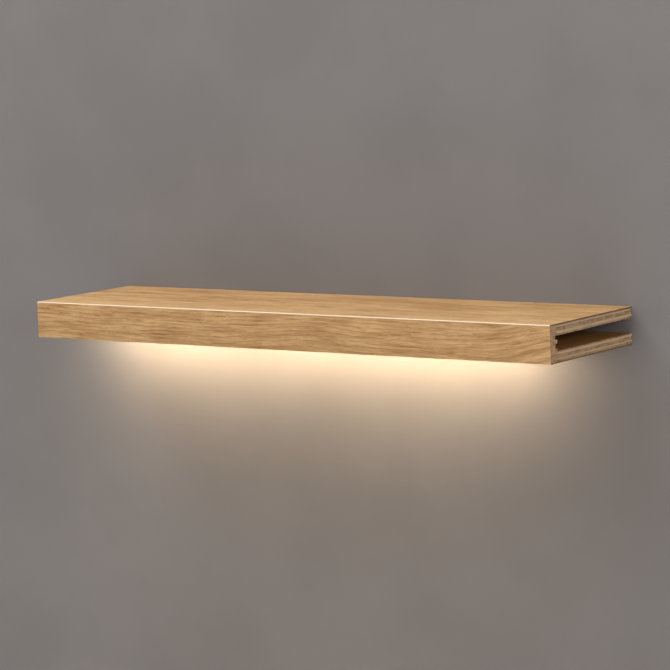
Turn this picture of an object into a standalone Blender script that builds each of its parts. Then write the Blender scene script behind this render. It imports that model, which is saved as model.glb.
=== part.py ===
"""Alcove shelf: a hollow veneered sleeve on a wall batten with arms, with a light set in its underside.

Metres, +Z up. +X runs along the shelf and +Y into the wall. The origin is the centre of the batten's
back face, which lies on the wall.
"""

import math

import bmesh
import bpy
from mathutils import Matrix, Vector

# Pieces that touch, are glued or are screwed together keep this much between their meshes.
GAP = 0.0003

# The sleeve's outer size, its boards and the oak that faces them.
SHELF_LENGTH = 1.000
SHELF_DEPTH = 0.250
CAVITY_HEIGHT = 0.024
BOARD_THICKNESS = 0.018
FRONT_THICKNESS = 0.018
VENEER_THICKNESS = 0.0015
ARRIS_CHAMFER = 0.0012

# The profile cut along the front board's inner face, from the top of the cavity down.
PROFILE_DEPTH = 0.003
UPPER_GROOVE_WIDTH = 0.006
RIDGE_WIDTH = 0.006
LEDGE_WIDTH = 0.0037

# Dowels that join the top and bottom boards to the front board.
DOWEL_DIAMETER = 0.008
DOWEL_LENGTH = 0.024
DOWEL_IN_FRONT = 0.010
DOWEL_COUNT = 5
DOWEL_END_INSET = 0.060

# The batten on the wall and the arms that stand out from it inside the sleeve.
BATTEN_DEPTH = 0.045
BATTEN_END_SETBACK = 0.170
ARM_COUNT = 4
ARM_WIDTH = 0.028
ARM_END_INSET = 0.030
ARM_TIP_CLEARANCE = 0.004
WALL_HOLE_DIAMETER = 0.0055
WALL_HOLE_OFFSET = 0.050
WALL_COUNTERSINK = 0.0026

# Countersunk wood screws: diameter, length and head diameter.
ARM_SCREW_DIAMETER = 0.005
ARM_SCREW_LENGTH = 0.090
ARM_SCREW_HEAD = 0.0096
SLEEVE_SCREW_DIAMETER = 0.004
SLEEVE_SCREW_LENGTH = 0.030
SLEEVE_SCREW_HEAD = 0.008
SLEEVE_SCREW_FROM_WALL = 0.020
SLEEVE_SCREW_OFFSET = 0.075
CLIP_SCREW_DIAMETER = 0.0026
CLIP_SCREW_LENGTH = 0.008
CLIP_SCREW_HEAD = 0.005
SADDLE_SCREW_DIAMETER = 0.0028
SADDLE_SCREW_LENGTH = 0.010
SADDLE_SCREW_HEAD = 0.0052
HEAD_RECESS = 0.0003

# The aluminium channel set in the underside, and where it lies.
LIGHT_FROM_WALL = 0.048
LIGHT_LEFT_SETBACK = 0.012
LIGHT_RIGHT_SETBACK = 0.134
CHANNEL_WIDTH = 0.017
CHANNEL_DEPTH = 0.0067
CHANNEL_WALL = 0.0012
FLANGE_THICKNESS = 0.0008
FLANGE_LIP = 0.0022
SNAP_DEPTH = 0.0004
SNAP_LEVEL = 0.0029
DIFFUSER_FACE = 0.0012
DIFFUSER_LEG = 0.001
DIFFUSER_DEPTH = 0.0041
CAP_THICKNESS = 0.0012
CAP_TENON = 0.003
CLIP_COUNT = 4
CLIP_THICKNESS = 0.001
CLIP_WIDTH = 0.016
CLIP_LEG = 0.0054
CLIP_END_INSET = 0.050

# The strip of light chips, its connector and the two wires up to the socket.
STRIP_WIDTH = 0.010
STRIP_THICKNESS = 0.0004
STRIP_END_CLEARANCE = 0.001
CHIP_SIZE = (0.0035, 0.0028, 0.0008)
CHIPS_PER_METRE = 60
CONNECTOR_SIZE = (0.006, 0.0105, 0.0038)
STRIP_TO_FEED_HOLE = 0.0125
FEED_HOLE_SETBACK = 0.0085
WIRE_DIAMETER = 0.0017
WIRE_PITCH = 0.002
WIRE_BEND = 0.0035
WIRE_TURN = 0.010
WIRE_HOLE_CLEARANCE = 0.00055
GROMMET_WALL = 0.0013
GROMMET_LENGTH = 0.007
GROMMET_FLANGE = 0.0014
GROMMET_FLANGE_THICKNESS = 0.001

# The round socket that the supply plugs into from the wall side, and the saddle that holds it.
SOCKET_DIAMETER = 0.0105
SOCKET_LENGTH = 0.026
SOCKET_BORE_DIAMETER = 0.0056
SOCKET_BORE_DEPTH = 0.010
SOCKET_PIN_DIAMETER = 0.0021
SOCKET_FROM_WALL = 0.004
SOCKET_OFFSET = 0.0175
SADDLE_THICKNESS = 0.001
SADDLE_WIDTH = 0.008
SADDLE_FOOT = 0.0065

# Levels and planes that follow from the sizes above.
SHELF_HEIGHT = CAVITY_HEIGHT + 2 * BOARD_THICKNESS
RIGHT = SHELF_LENGTH / 2
TOP = SHELF_HEIGHT / 2
UNDERSIDE = -TOP
CAVITY_TOP = CAVITY_HEIGHT / 2
CAVITY_FLOOR = -CAVITY_TOP
CORE_TOP = TOP - VENEER_THICKNESS - GAP
CORE_FRONT = -SHELF_DEPTH + VENEER_THICKNESS + GAP
REBATE = -SHELF_DEPTH + FRONT_THICKNESS
RIDGE_TIP = REBATE + PROFILE_DEPTH
BOARD_MIDDLE = (CAVITY_TOP + CORE_TOP) / 2

BATTEN_END = RIGHT - BATTEN_END_SETBACK
BEARER_TOP = CAVITY_TOP - GAP

LIGHT_Y = -LIGHT_FROM_WALL
CHANNEL_LEFT = -RIGHT + LIGHT_LEFT_SETBACK
CHANNEL_RIGHT = RIGHT - LIGHT_RIGHT_SETBACK
CHANNEL_HALF = CHANNEL_WIDTH / 2
CHANNEL_TOP = UNDERSIDE + CHANNEL_DEPTH
CHANNEL_INNER_HALF = CHANNEL_HALF - CHANNEL_WALL
CHANNEL_SEAT = CHANNEL_TOP - CHANNEL_WALL
FLANGE_TOP = UNDERSIDE - GAP
FLANGE_BOTTOM = FLANGE_TOP - FLANGE_THICKNESS
SNAP_Z = FLANGE_BOTTOM + SNAP_LEVEL
DIFFUSER_HALF = CHANNEL_INNER_HALF - GAP
DIFFUSER_INSIDE = FLANGE_BOTTOM + DIFFUSER_FACE
CLIP_TOP = CHANNEL_TOP + GAP + CLIP_THICKNESS
CLIP_HALF = CHANNEL_HALF + GAP + CLIP_THICKNESS
GROOVE_FLOOR = CLIP_TOP + GAP
GROOVE_HALF = CLIP_HALF + GAP
FLANGE_HALF = GROOVE_HALF + FLANGE_LIP

FEED_X = CHANNEL_RIGHT - FEED_HOLE_SETBACK
STRIP_LEFT = CHANNEL_LEFT + CAP_TENON + STRIP_END_CLEARANCE
STRIP_RIGHT = FEED_X - STRIP_TO_FEED_HOLE
STRIP_TOP = CHANNEL_SEAT - GAP
STRIP_BOTTOM = STRIP_TOP - STRIP_THICKNESS
CONNECTOR_RIGHT = STRIP_RIGHT + GAP + CONNECTOR_SIZE[0]
CONNECTOR_MIDDLE = STRIP_TOP - CONNECTOR_SIZE[2] / 2
WIRE_HOLE_RADIUS = (WIRE_PITCH + WIRE_DIAMETER) / 2 + WIRE_HOLE_CLEARANCE
GROMMET_RADIUS = WIRE_HOLE_RADIUS + GROMMET_WALL

SOCKET_X = FEED_X + SOCKET_OFFSET
SOCKET_RADIUS = SOCKET_DIAMETER / 2
SOCKET_Z = CAVITY_FLOOR + GAP + SOCKET_RADIUS
SOCKET_BACK = -SOCKET_FROM_WALL - SOCKET_LENGTH
SADDLE_Y = -SOCKET_FROM_WALL - SOCKET_LENGTH / 2
SADDLE_INNER = SOCKET_RADIUS + GAP
SADDLE_OUTER = SADDLE_INNER + SADDLE_THICKNESS
SADDLE_SCREW_X = SADDLE_OUTER + SADDLE_FOOT / 2

# How far a cutter runs past the face that it opens.
OVERRUN = 0.002

# Turns a piece that is made along +Z.
ALONG_Z = (0, 0, 0)
DOWN = (math.pi, 0, 0)
INTO_WALL = (-math.pi / 2, 0, 0)
OUT_OF_WALL = (math.pi / 2, 0, 0)
ALONG_X = (math.pi / 2, 0, math.pi / 2)

# Colour, roughness and metallic value of each finish.
OAK = ((0.50, 0.32, 0.15), 0.50, 0.0)
PLYWOOD = ((0.33, 0.23, 0.14), 0.75, 0.0)
SOLID_OAK = ((0.25, 0.15, 0.08), 0.70, 0.0)
BEECH = ((0.56, 0.38, 0.22), 0.60, 0.0)
PINE = ((0.66, 0.48, 0.28), 0.65, 0.0)
ZINC = ((0.62, 0.60, 0.54), 0.35, 1.0)
ALUMINIUM = ((0.80, 0.80, 0.81), 0.35, 1.0)
SPRING_STEEL = ((0.50, 0.50, 0.52), 0.30, 1.0)
OPAL = ((0.95, 0.90, 0.80), 0.45, 0.0)
CIRCUIT = ((0.85, 0.85, 0.82), 0.40, 0.0)
WHITE_PLASTIC = ((0.85, 0.85, 0.83), 0.45, 0.0)
GREY_PLASTIC = ((0.55, 0.55, 0.56), 0.50, 0.0)
BLACK_PLASTIC = ((0.03, 0.03, 0.03), 0.50, 0.0)
RED_INSULATION = ((0.45, 0.03, 0.02), 0.45, 0.0)


def new_collection(name):
    collection = bpy.data.collections.new(name)
    bpy.context.scene.collection.children.link(collection)
    return collection


def finish_with(obj, finish):
    """Give the object a material of its own, or make it a hidden cutter when it has no finish."""
    if finish is None:
        bpy.data.collections["cutters"].objects.link(obj)
        obj.hide_render = True
        obj.display_type = "WIRE"
        return obj
    colour, roughness, metallic = finish
    material = bpy.data.materials.new(obj.name)
    material.use_nodes = True
    shader = material.node_tree.nodes["Principled BSDF"]
    shader.inputs["Base Color"].default_value = (*colour, 1.0)
    shader.inputs["Roughness"].default_value = roughness
    shader.inputs["Metallic"].default_value = metallic
    obj.data.materials.append(material)
    bpy.data.collections["alcove_shelf"].objects.link(obj)
    return obj


def box(name, low, high, finish=None):
    """A block between two corners."""
    low, high = Vector(low), Vector(high)
    shape = bmesh.new()
    bmesh.ops.create_cube(shape, size=1.0, matrix=Matrix.Diagonal((*(high - low), 1.0)))
    mesh = bpy.data.meshes.new(name)
    shape.to_mesh(mesh)
    shape.free()
    obj = bpy.data.objects.new(name, mesh)
    obj.location = (low + high) / 2
    return finish_with(obj, finish)


def drawn_outline(name, outline, thickness, place, turn):
    """A flat curve through the outline's points, thick along its own Z."""
    curve = bpy.data.curves.new(name, "CURVE")
    curve.dimensions = "2D"
    curve.fill_mode = "BOTH"
    curve.extrude = thickness / 2
    spline = curve.splines.new("POLY")
    spline.points.add(len(outline) - 1)
    for point, (across, up) in zip(spline.points, outline):
        point.co = (across, up, 0.0, 1.0)
    spline.use_cyclic_u = True
    obj = bpy.data.objects.new(name, curve)
    obj.location = place
    obj.rotation_euler = turn
    return obj


def plate(name, outline, thickness, place, turn, finish=None):
    """A closed mesh of the outline, so that it can be cut, joined or used as a cutter."""
    drawn = drawn_outline(name + "_outline", outline, thickness, place, turn)
    bpy.context.scene.collection.objects.link(drawn)
    graph = bpy.context.evaluated_depsgraph_get()
    mesh = bpy.data.meshes.new_from_object(drawn.evaluated_get(graph))
    mesh.name = name
    shape = bmesh.new()
    shape.from_mesh(mesh)
    bmesh.ops.remove_doubles(shape, verts=shape.verts, dist=1e-6)
    shape.to_mesh(mesh)
    shape.free()
    obj = bpy.data.objects.new(name, mesh)
    obj.matrix_world = drawn.matrix_world
    bpy.data.objects.remove(drawn)
    return finish_with(obj, finish)


def bar(name, section, left, right, finish=None):
    """A section, drawn in Y and Z, run along X from left to right."""
    return plate(name, section, right - left, ((left + right) / 2, 0, 0), ALONG_X, finish)


def turned(name, profile, place, turn, finish=None, steps=12):
    """A round piece from (radius, height) points, from the top of its axis down its outer side."""
    mesh = bpy.data.meshes.new(name)
    points = [(radius, 0.0, height) for radius, height in profile]
    mesh.from_pydata(points, [(i, i + 1) for i in range(len(points) - 1)], [])
    obj = bpy.data.objects.new(name, mesh)
    obj.location = place
    obj.rotation_euler = turn
    screw = obj.modifiers.new("turn", "SCREW")
    screw.steps = screw.render_steps = steps
    screw.use_merge_vertices = True
    screw.merge_threshold = 1e-5
    screw.use_smooth_shade = True
    return finish_with(obj, finish)


def cut(obj, *cutters, operation="DIFFERENCE"):
    for cutter in cutters:
        boolean = obj.modifiers.new(cutter.name, "BOOLEAN")
        boolean.operation = operation
        boolean.object = cutter


def countersunk(diameter, length, head, grow=0.0, overrun=0.0):
    """A countersunk screw's profile, head up, its flat at height 0. Grown, it is the screw's hole."""
    radius = diameter / 2 + grow
    rim = head / 2 + grow
    cone = (head - diameter) / 2
    point = diameter
    profile = [(0, overrun), (rim, overrun)]
    if overrun:
        profile.append((rim, 0))
    return profile + [(radius, -cone), (radius, point - length), (0, -length - grow)]


def pan_head(diameter, length, head, grow=0.0):
    """A pan-head screw's profile, the underside of its head at height 0. Grown, it is the hole."""
    radius = diameter / 2 + grow
    if grow:
        return [(0, OVERRUN), (radius, OVERRUN), (radius, diameter - length), (0, -length - grow)]
    rise = head / 3
    return [
        (0, rise),
        (head / 3, rise),
        (head / 2, rise / 2),
        (head / 2, 0),
        (radius, 0),
        (radius, diameter - length),
        (0, -length),
    ]


def cross_recess(screw, head, level):
    """Cut the driver's cross into a screw's head, whose top is at this level on its axis."""
    reach = head * 0.3
    half = head * 0.07
    depth = head * 0.2
    arm = [(half, half), (half, reach), (-half, reach)]
    outline = []
    for quarter in range(4):
        turn = Matrix.Rotation(quarter * math.pi / 2, 2)
        outline += [turn @ Vector(corner) for corner in arm]
    cross = plate(screw.name + "_cross", outline, 2 * depth, (0, 0, level), ALONG_Z)
    cross.parent = screw
    cut(screw, cross)


def wood_screw(name, diameter, length, head, place, turn, finish):
    """A countersunk screw with its driver recess, and the cutter for its hole."""
    screw = turned(name, countersunk(diameter, length, head), place, turn, finish)
    cross_recess(screw, head, 0.0)
    hole = countersunk(diameter, length, head, GAP, OVERRUN)
    return turned(name + "_hole", hole, place, turn)


def spread(first, last, count):
    """Evenly spaced places from first to last."""
    return [first + (last - first) * i / (count - 1) for i in range(count)]


def smooth_route(points, per_span=3):
    """Points along a smooth curve that passes through each of the route's own points."""
    points = [Vector(point) for point in points]
    ends = [2 * points[0] - points[1], *points, 2 * points[-1] - points[-2]]
    route = []
    for before, start, end, after in zip(ends, ends[1:], ends[2:], ends[3:]):
        for step in range(per_span):
            t = step / per_span
            bend = 2 * before - 5 * start + 4 * end - after
            twist = 3 * start - before - 3 * end + after
            route.append(0.5 * (2 * start + (end - before) * t + bend * t**2 + twist * t**3))
    return route + [points[-1]]


def wire(name, points, diameter, finish):
    """A round wire with flat ends."""
    curve = bpy.data.curves.new(name, "CURVE")
    curve.dimensions = "3D"
    curve.bevel_depth = diameter / 2
    curve.bevel_resolution = 2
    curve.use_fill_caps = True
    spline = curve.splines.new("POLY")
    spline.points.add(len(points) - 1)
    for point, place in zip(spline.points, points):
        point.co = (*place, 1.0)
    return finish_with(bpy.data.objects.new(name, curve), finish)


def make_boards():
    """The three boards of the sleeve. The front board's inner face carries a groove, ridge and ledge."""
    back_edge = REBATE + GAP
    top = box("top_board", (-RIGHT, back_edge, CAVITY_TOP), (RIGHT, 0, CORE_TOP), PLYWOOD)
    bottom = box("bottom_board", (-RIGHT, back_edge, -CORE_TOP), (RIGHT, 0, CAVITY_FLOOR), PLYWOOD)
    groove = REBATE - PROFILE_DEPTH
    ridge_top = CAVITY_TOP - UPPER_GROOVE_WIDTH
    ridge_bottom = ridge_top - RIDGE_WIDTH
    ledge_bottom = CAVITY_FLOOR + GAP
    ledge_top = ledge_bottom + LEDGE_WIDTH
    section = [
        (CORE_FRONT, -CORE_TOP),
        (REBATE, -CORE_TOP),
        (REBATE, ledge_bottom),
        (RIDGE_TIP, ledge_bottom),
        (RIDGE_TIP, ledge_top),
        (groove, ledge_top),
        (groove, ridge_bottom),
        (RIDGE_TIP, ridge_bottom),
        (RIDGE_TIP, ridge_top),
        (groove, ridge_top),
        (groove, CAVITY_TOP),
        (REBATE, CAVITY_TOP),
        (REBATE, CORE_TOP),
        (CORE_FRONT, CORE_TOP),
    ]
    front = bar("front_board", section, -RIGHT, RIGHT, SOLID_OAK)
    return top, bottom, front


def make_veneers():
    """The oak faces. The top one runs over the front board and has a chamfered front edge."""
    front = -SHELF_DEPTH
    under = TOP - VENEER_THICKNESS
    section = [
        (front, under),
        (0, under),
        (0, TOP),
        (front + ARRIS_CHAMFER, TOP),
        (front, TOP - ARRIS_CHAMFER),
    ]
    bar("top_veneer", section, -RIGHT, RIGHT, OAK)
    box("front_veneer", (-RIGHT, front, UNDERSIDE), (RIGHT, front + VENEER_THICKNESS, CORE_TOP), OAK)
    return box("bottom_veneer", (-RIGHT, CORE_FRONT, UNDERSIDE), (RIGHT, 0, -under), OAK)


def make_dowels(top, bottom, front):
    """Glued dowels along Y, with chamfered ends, half in the front board and half in the others."""
    radius = DOWEL_DIAMETER / 2
    bevel = radius / 4
    head = REBATE - DOWEL_IN_FRONT
    for row, board, level in (("top", top, BOARD_MIDDLE), ("bottom", bottom, -BOARD_MIDDLE)):
        places = spread(-RIGHT + DOWEL_END_INSET, RIGHT - DOWEL_END_INSET, DOWEL_COUNT)
        for number, x in enumerate(places, 1):
            profile = [
                (0, DOWEL_LENGTH),
                (radius - bevel, DOWEL_LENGTH),
                (radius, DOWEL_LENGTH - bevel),
                (radius, bevel),
                (radius - bevel, 0),
                (0, 0),
            ]
            name = f"{row}_dowel_{number}"
            turned(name, profile, (x, head, level), INTO_WALL, BEECH)
            top_end = DOWEL_LENGTH + GAP
            bore = [(0, top_end), (radius + GAP, top_end), (radius + GAP, -GAP), (0, -GAP)]
            hole = turned(name + "_hole", bore, (x, head, level), INTO_WALL)
            cut(board, hole)
            cut(front, hole)


def make_bracket(bottom, bottom_veneer):
    """The batten, its arms and the screws that hold them and the sleeve."""
    low, high = (-BATTEN_END, -BATTEN_DEPTH, -BEARER_TOP), (BATTEN_END, 0, BEARER_TOP)
    batten = box("wall_batten", low, high, PINE)
    first = -BATTEN_END + ARM_END_INSET
    for number, x in enumerate(spread(first, -first, ARM_COUNT), 1):
        low = (x - ARM_WIDTH / 2, RIDGE_TIP + ARM_TIP_CLEARANCE, -BEARER_TOP)
        high = (x + ARM_WIDTH / 2, -BATTEN_DEPTH - GAP, BEARER_TOP)
        arm = box(f"support_arm_{number}", low, high, PINE)
        size = (ARM_SCREW_DIAMETER, ARM_SCREW_LENGTH, ARM_SCREW_HEAD)
        hole = wood_screw(f"arm_screw_{number}", *size, (x, -2 * HEAD_RECESS, 0), INTO_WALL, ZINC)
        cut(batten, hole)
        cut(arm, hole)

        inward = -math.copysign(1, x)
        rim = WALL_HOLE_DIAMETER / 2 + WALL_COUNTERSINK
        shank = WALL_HOLE_DIAMETER / 2
        through = BATTEN_DEPTH + OVERRUN
        profile = [(0, OVERRUN), (rim, OVERRUN), (rim, 0), (shank, -WALL_COUNTERSINK), (shank, -through)]
        place = (x + inward * WALL_HOLE_OFFSET, -BATTEN_DEPTH, 0)
        cut(batten, turned(f"wall_hole_{number}", profile + [(0, -through)], place, OUT_OF_WALL))

        size = (SLEEVE_SCREW_DIAMETER, SLEEVE_SCREW_LENGTH, SLEEVE_SCREW_HEAD)
        place = (x + inward * SLEEVE_SCREW_OFFSET, -SLEEVE_SCREW_FROM_WALL, UNDERSIDE + HEAD_RECESS)
        hole = wood_screw(f"sleeve_screw_{number}", *size, place, DOWN, ZINC)
        for piece in (bottom_veneer, bottom, batten):
            cut(piece, hole)


def across(points):
    """A half section in distance from the light's centreline and height, mirrored and set at it."""
    left = [(-away, height) for away, height in reversed(points)]
    return [(LIGHT_Y + away, height) for away, height in points + left]


def make_channel(bottom, bottom_veneer):
    """The channel in its groove, with its diffuser, end caps and clips."""
    end = CAP_THICKNESS + 2 * GAP
    low = (CHANNEL_LEFT - end, LIGHT_Y - GROOVE_HALF, UNDERSIDE - OVERRUN)
    high = (CHANNEL_RIGHT + end, LIGHT_Y + GROOVE_HALF, GROOVE_FLOOR)
    groove = box("light_groove", low, high)
    cut(bottom, groove)
    cut(bottom_veneer, groove)

    rib = CHANNEL_INNER_HALF - SNAP_DEPTH
    section = [
        (CHANNEL_INNER_HALF, CHANNEL_SEAT),
        (CHANNEL_INNER_HALF, SNAP_Z + SNAP_DEPTH),
        (rib, SNAP_Z),
        (CHANNEL_INNER_HALF, SNAP_Z - SNAP_DEPTH),
        (CHANNEL_INNER_HALF, FLANGE_BOTTOM),
        (FLANGE_HALF, FLANGE_BOTTOM),
        (FLANGE_HALF, FLANGE_TOP),
        (CHANNEL_HALF, FLANGE_TOP),
        (CHANNEL_HALF, CHANNEL_TOP),
    ]
    channel = bar("led_channel", across(section), CHANNEL_LEFT, CHANNEL_RIGHT, ALUMINIUM)

    notch = rib - GAP
    notch_reach = SNAP_DEPTH + GAP
    leg = DIFFUSER_HALF - DIFFUSER_LEG
    leg_top = FLANGE_BOTTOM + DIFFUSER_DEPTH
    section = [
        (leg, DIFFUSER_INSIDE),
        (leg, leg_top),
        (DIFFUSER_HALF, leg_top),
        (DIFFUSER_HALF, SNAP_Z + notch_reach),
        (notch, SNAP_Z + notch_reach),
        (notch, SNAP_Z - notch_reach),
        (DIFFUSER_HALF, SNAP_Z - notch_reach),
        (DIFFUSER_HALF, FLANGE_BOTTOM),
    ]
    bar("led_diffuser", across(section), CHANNEL_LEFT, CHANNEL_RIGHT, OPAL)

    plug = leg - GAP
    section = across([
        (FLANGE_HALF, FLANGE_BOTTOM),
        (FLANGE_HALF, FLANGE_TOP),
        (CHANNEL_HALF, FLANGE_TOP),
        (CHANNEL_HALF, CHANNEL_TOP),
    ])
    for side, face, inward in (("left", CHANNEL_LEFT, 1), ("right", CHANNEL_RIGHT, -1)):
        name = f"channel_end_cap_{side}"
        near = face - inward * GAP
        outer = near - inward * CAP_THICKNESS
        cap = bar(name, section, min(near, outer), max(near, outer), GREY_PLASTIC)
        ends = sorted((near - inward * CAP_THICKNESS / 2, face + inward * CAP_TENON))
        low = (ends[0], LIGHT_Y - plug, DIFFUSER_INSIDE + GAP)
        high = (ends[1], LIGHT_Y + plug, STRIP_TOP)
        cut(cap, box(name + "_plug", low, high), operation="UNION")

    clip_inner = CHANNEL_HALF + GAP
    clip_under = CHANNEL_TOP + GAP
    section = across([
        (clip_inner, clip_under),
        (clip_inner, clip_under - CLIP_LEG),
        (CLIP_HALF, clip_under - CLIP_LEG),
        (CLIP_HALF, CLIP_TOP),
    ])
    places = spread(CHANNEL_LEFT + CLIP_END_INSET, CHANNEL_RIGHT - CLIP_END_INSET, CLIP_COUNT)
    for number, x in enumerate(places, 1):
        half = CLIP_WIDTH / 2
        clip = bar(f"channel_clip_{number}", section, x - half, x + half, SPRING_STEEL)
        size = (CLIP_SCREW_DIAMETER, CLIP_SCREW_LENGTH, CLIP_SCREW_HEAD)
        hole = wood_screw(f"clip_screw_{number}", *size, (x, LIGHT_Y, clip_under), DOWN, ZINC)
        cut(clip, hole)
        cut(bottom, hole)
    return channel


def make_strip():
    """The strip with its row of light chips, and the connector on its right end."""
    half = STRIP_WIDTH / 2
    low, high = (STRIP_LEFT, LIGHT_Y - half, STRIP_BOTTOM), (STRIP_RIGHT, LIGHT_Y + half, STRIP_TOP)
    strip = box("led_strip", low, high, CIRCUIT)
    pitch = 1 / CHIPS_PER_METRE
    count = int((STRIP_RIGHT - STRIP_LEFT) / pitch)
    margin = (STRIP_RIGHT - STRIP_LEFT - (count - 1) * pitch) / 2
    length, width, height = CHIP_SIZE
    sunk = STRIP_THICKNESS / 2
    shape = bmesh.new()
    for number in range(count):
        place = (STRIP_LEFT + margin + number * pitch, LIGHT_Y, STRIP_BOTTOM + (sunk - height) / 2)
        size = Matrix.Diagonal((length, width, height + sunk, 1.0))
        bmesh.ops.create_cube(shape, size=1.0, matrix=Matrix.Translation(place) @ size)
    mesh = bpy.data.meshes.new("chips")
    shape.to_mesh(mesh)
    shape.free()
    cut(strip, finish_with(bpy.data.objects.new("chips", mesh), None), operation="UNION")

    length, width, height = CONNECTOR_SIZE
    low = (STRIP_RIGHT + GAP, LIGHT_Y - width / 2, STRIP_TOP - height)
    box("strip_connector", low, (CONNECTOR_RIGHT, LIGHT_Y + width / 2, STRIP_TOP), WHITE_PLASTIC)


def make_feed_hole(bottom, channel):
    """The hole that the wires rise through, and the grommet in its upper end."""
    for piece, radius in ((channel, WIRE_HOLE_RADIUS), (bottom, GROMMET_RADIUS + GAP)):
        low, high = CHANNEL_SEAT - GAP, CAVITY_FLOOR + OVERRUN
        profile = [(0, high), (radius, high), (radius, low), (0, low)]
        cut(piece, turned(f"{piece.name}_feed_hole", profile, (FEED_X, LIGHT_Y, 0), ALONG_Z, steps=16))
    seat = CAVITY_FLOOR + GAP
    rim = GROMMET_RADIUS + GROMMET_FLANGE
    bore = [(WIRE_HOLE_RADIUS, CAVITY_FLOOR - GROMMET_LENGTH)]
    section = bore + [
        (WIRE_HOLE_RADIUS, seat + GROMMET_FLANGE_THICKNESS),
        (rim, seat + GROMMET_FLANGE_THICKNESS),
        (rim, seat),
        (GROMMET_RADIUS, seat),
        (GROMMET_RADIUS, CAVITY_FLOOR - GROMMET_LENGTH),
    ]
    turned("lead_grommet", section + bore, (FEED_X, LIGHT_Y, 0), ALONG_Z, BLACK_PLASTIC, steps=16)


def make_wires():
    """Two wires, from the strip's connector up through the hole and round into the socket's back."""
    bend = WIRE_BEND
    half_bend = bend * 0.29
    turn = WIRE_TURN
    half_turn = turn * 0.29
    low, high = CONNECTOR_MIDDLE, SOCKET_Z
    route = [
        (CONNECTOR_RIGHT + GAP, LIGHT_Y, low),
        (FEED_X - bend, LIGHT_Y, low),
        (FEED_X - half_bend, LIGHT_Y, low + half_bend),
        (FEED_X, LIGHT_Y, low + bend),
        (FEED_X, LIGHT_Y, (low + high) / 2),
        (FEED_X, LIGHT_Y, high - bend),
        (FEED_X + half_bend, LIGHT_Y, high - half_bend),
        (FEED_X + bend, LIGHT_Y, high),
        (SOCKET_X - turn, LIGHT_Y, high),
        (SOCKET_X - half_turn, LIGHT_Y + half_turn, high),
        (SOCKET_X, LIGHT_Y + turn, high),
        (SOCKET_X, SOCKET_BACK - GAP, high),
    ]
    centre = smooth_route(route)
    wires = (("led_wire_positive", 1, RED_INSULATION), ("led_wire_negative", -1, BLACK_PLASTIC))
    for name, side, finish in wires:
        points = []
        for point in centre:
            inside = Vector((min(point.x, SOCKET_X - turn), max(point.y, LIGHT_Y + turn), point.z))
            points.append(point + side * WIRE_PITCH / 2 * (inside - point).normalized())
        wire(name, points, WIRE_DIAMETER, finish)


def make_socket(bottom):
    """The supply socket, open towards the wall, under a saddle screwed to the cavity's floor."""
    collar = WIRE_HOLE_RADIUS + GAP
    taper = SOCKET_LENGTH / 6
    edge = SOCKET_RADIUS / 12
    profile = [
        (0, -edge),
        (SOCKET_PIN_DIAMETER / 2, -edge),
        (SOCKET_PIN_DIAMETER / 2, -SOCKET_BORE_DEPTH),
        (SOCKET_BORE_DIAMETER / 2, -SOCKET_BORE_DEPTH),
        (SOCKET_BORE_DIAMETER / 2, 0),
        (SOCKET_RADIUS - edge, 0),
        (SOCKET_RADIUS, -edge),
        (SOCKET_RADIUS, taper - SOCKET_LENGTH),
        (collar, -SOCKET_LENGTH),
        (0, -SOCKET_LENGTH),
    ]
    place = (SOCKET_X, -SOCKET_FROM_WALL, SOCKET_Z)
    turned("power_socket", profile, place, INTO_WALL, BLACK_PLASTIC, steps=16)

    foot_under = CAVITY_FLOOR + GAP - SOCKET_Z
    foot_top = foot_under + SADDLE_THICKNESS
    toe = SADDLE_OUTER + SADDLE_FOOT
    arch = [(-toe, foot_under), (-SADDLE_INNER, foot_under)]
    arch += [(-SADDLE_INNER * math.cos(a), SADDLE_INNER * math.sin(a)) for a in spread(0, math.pi, 9)]
    arch += [(SADDLE_INNER, foot_under), (toe, foot_under), (toe, foot_top), (SADDLE_OUTER, foot_top)]
    arch += [(SADDLE_OUTER * math.cos(a), SADDLE_OUTER * math.sin(a)) for a in spread(0, math.pi, 9)]
    arch += [(-SADDLE_OUTER, foot_top), (-toe, foot_top)]
    place = (SOCKET_X, SADDLE_Y, SOCKET_Z)
    saddle = plate("socket_saddle", arch, SADDLE_WIDTH, place, OUT_OF_WALL, SPRING_STEEL)
    size = (SADDLE_SCREW_DIAMETER, SADDLE_SCREW_LENGTH, SADDLE_SCREW_HEAD)
    for number, side in ((1, -1), (2, 1)):
        place = (SOCKET_X + side * SADDLE_SCREW_X, SADDLE_Y, SOCKET_Z + foot_top + GAP)
        name = f"saddle_screw_{number}"
        screw = turned(name, pan_head(*size), place, ALONG_Z, ZINC)
        cross_recess(screw, SADDLE_SCREW_HEAD, SADDLE_SCREW_HEAD / 3)
        hole = turned(name + "_hole", pan_head(*size, GAP), place, ALONG_Z)
        cut(saddle, hole)
        cut(bottom, hole)


def gather(name, pieces, parent=None):
    """Hang pieces under an empty, as one of the shelf's assemblies."""
    empty = bpy.data.objects.new(name, None)
    bpy.data.collections["alcove_shelf"].objects.link(empty)
    empty.parent = parent
    for piece in pieces:
        piece.parent = empty
    return empty


def main():
    for obj in list(bpy.data.objects):
        bpy.data.objects.remove(obj)
    parts = new_collection("alcove_shelf")
    new_collection("cutters")

    top, bottom, front = make_boards()
    bottom_veneer = make_veneers()
    make_dowels(top, bottom, front)
    sleeve = list(parts.objects)
    make_bracket(bottom, bottom_veneer)
    bracket = [piece for piece in parts.objects if piece not in sleeve]
    channel = make_channel(bottom, bottom_veneer)
    make_strip()
    make_feed_hole(bottom, channel)
    make_wires()
    make_socket(bottom)
    light = [piece for piece in parts.objects if piece not in sleeve + bracket]

    shelf = gather("shelf_on_wall", [])
    gather("sleeve", sleeve, shelf)
    gather("bracket", bracket, shelf)
    gather("light", light, shelf)


main()
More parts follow.
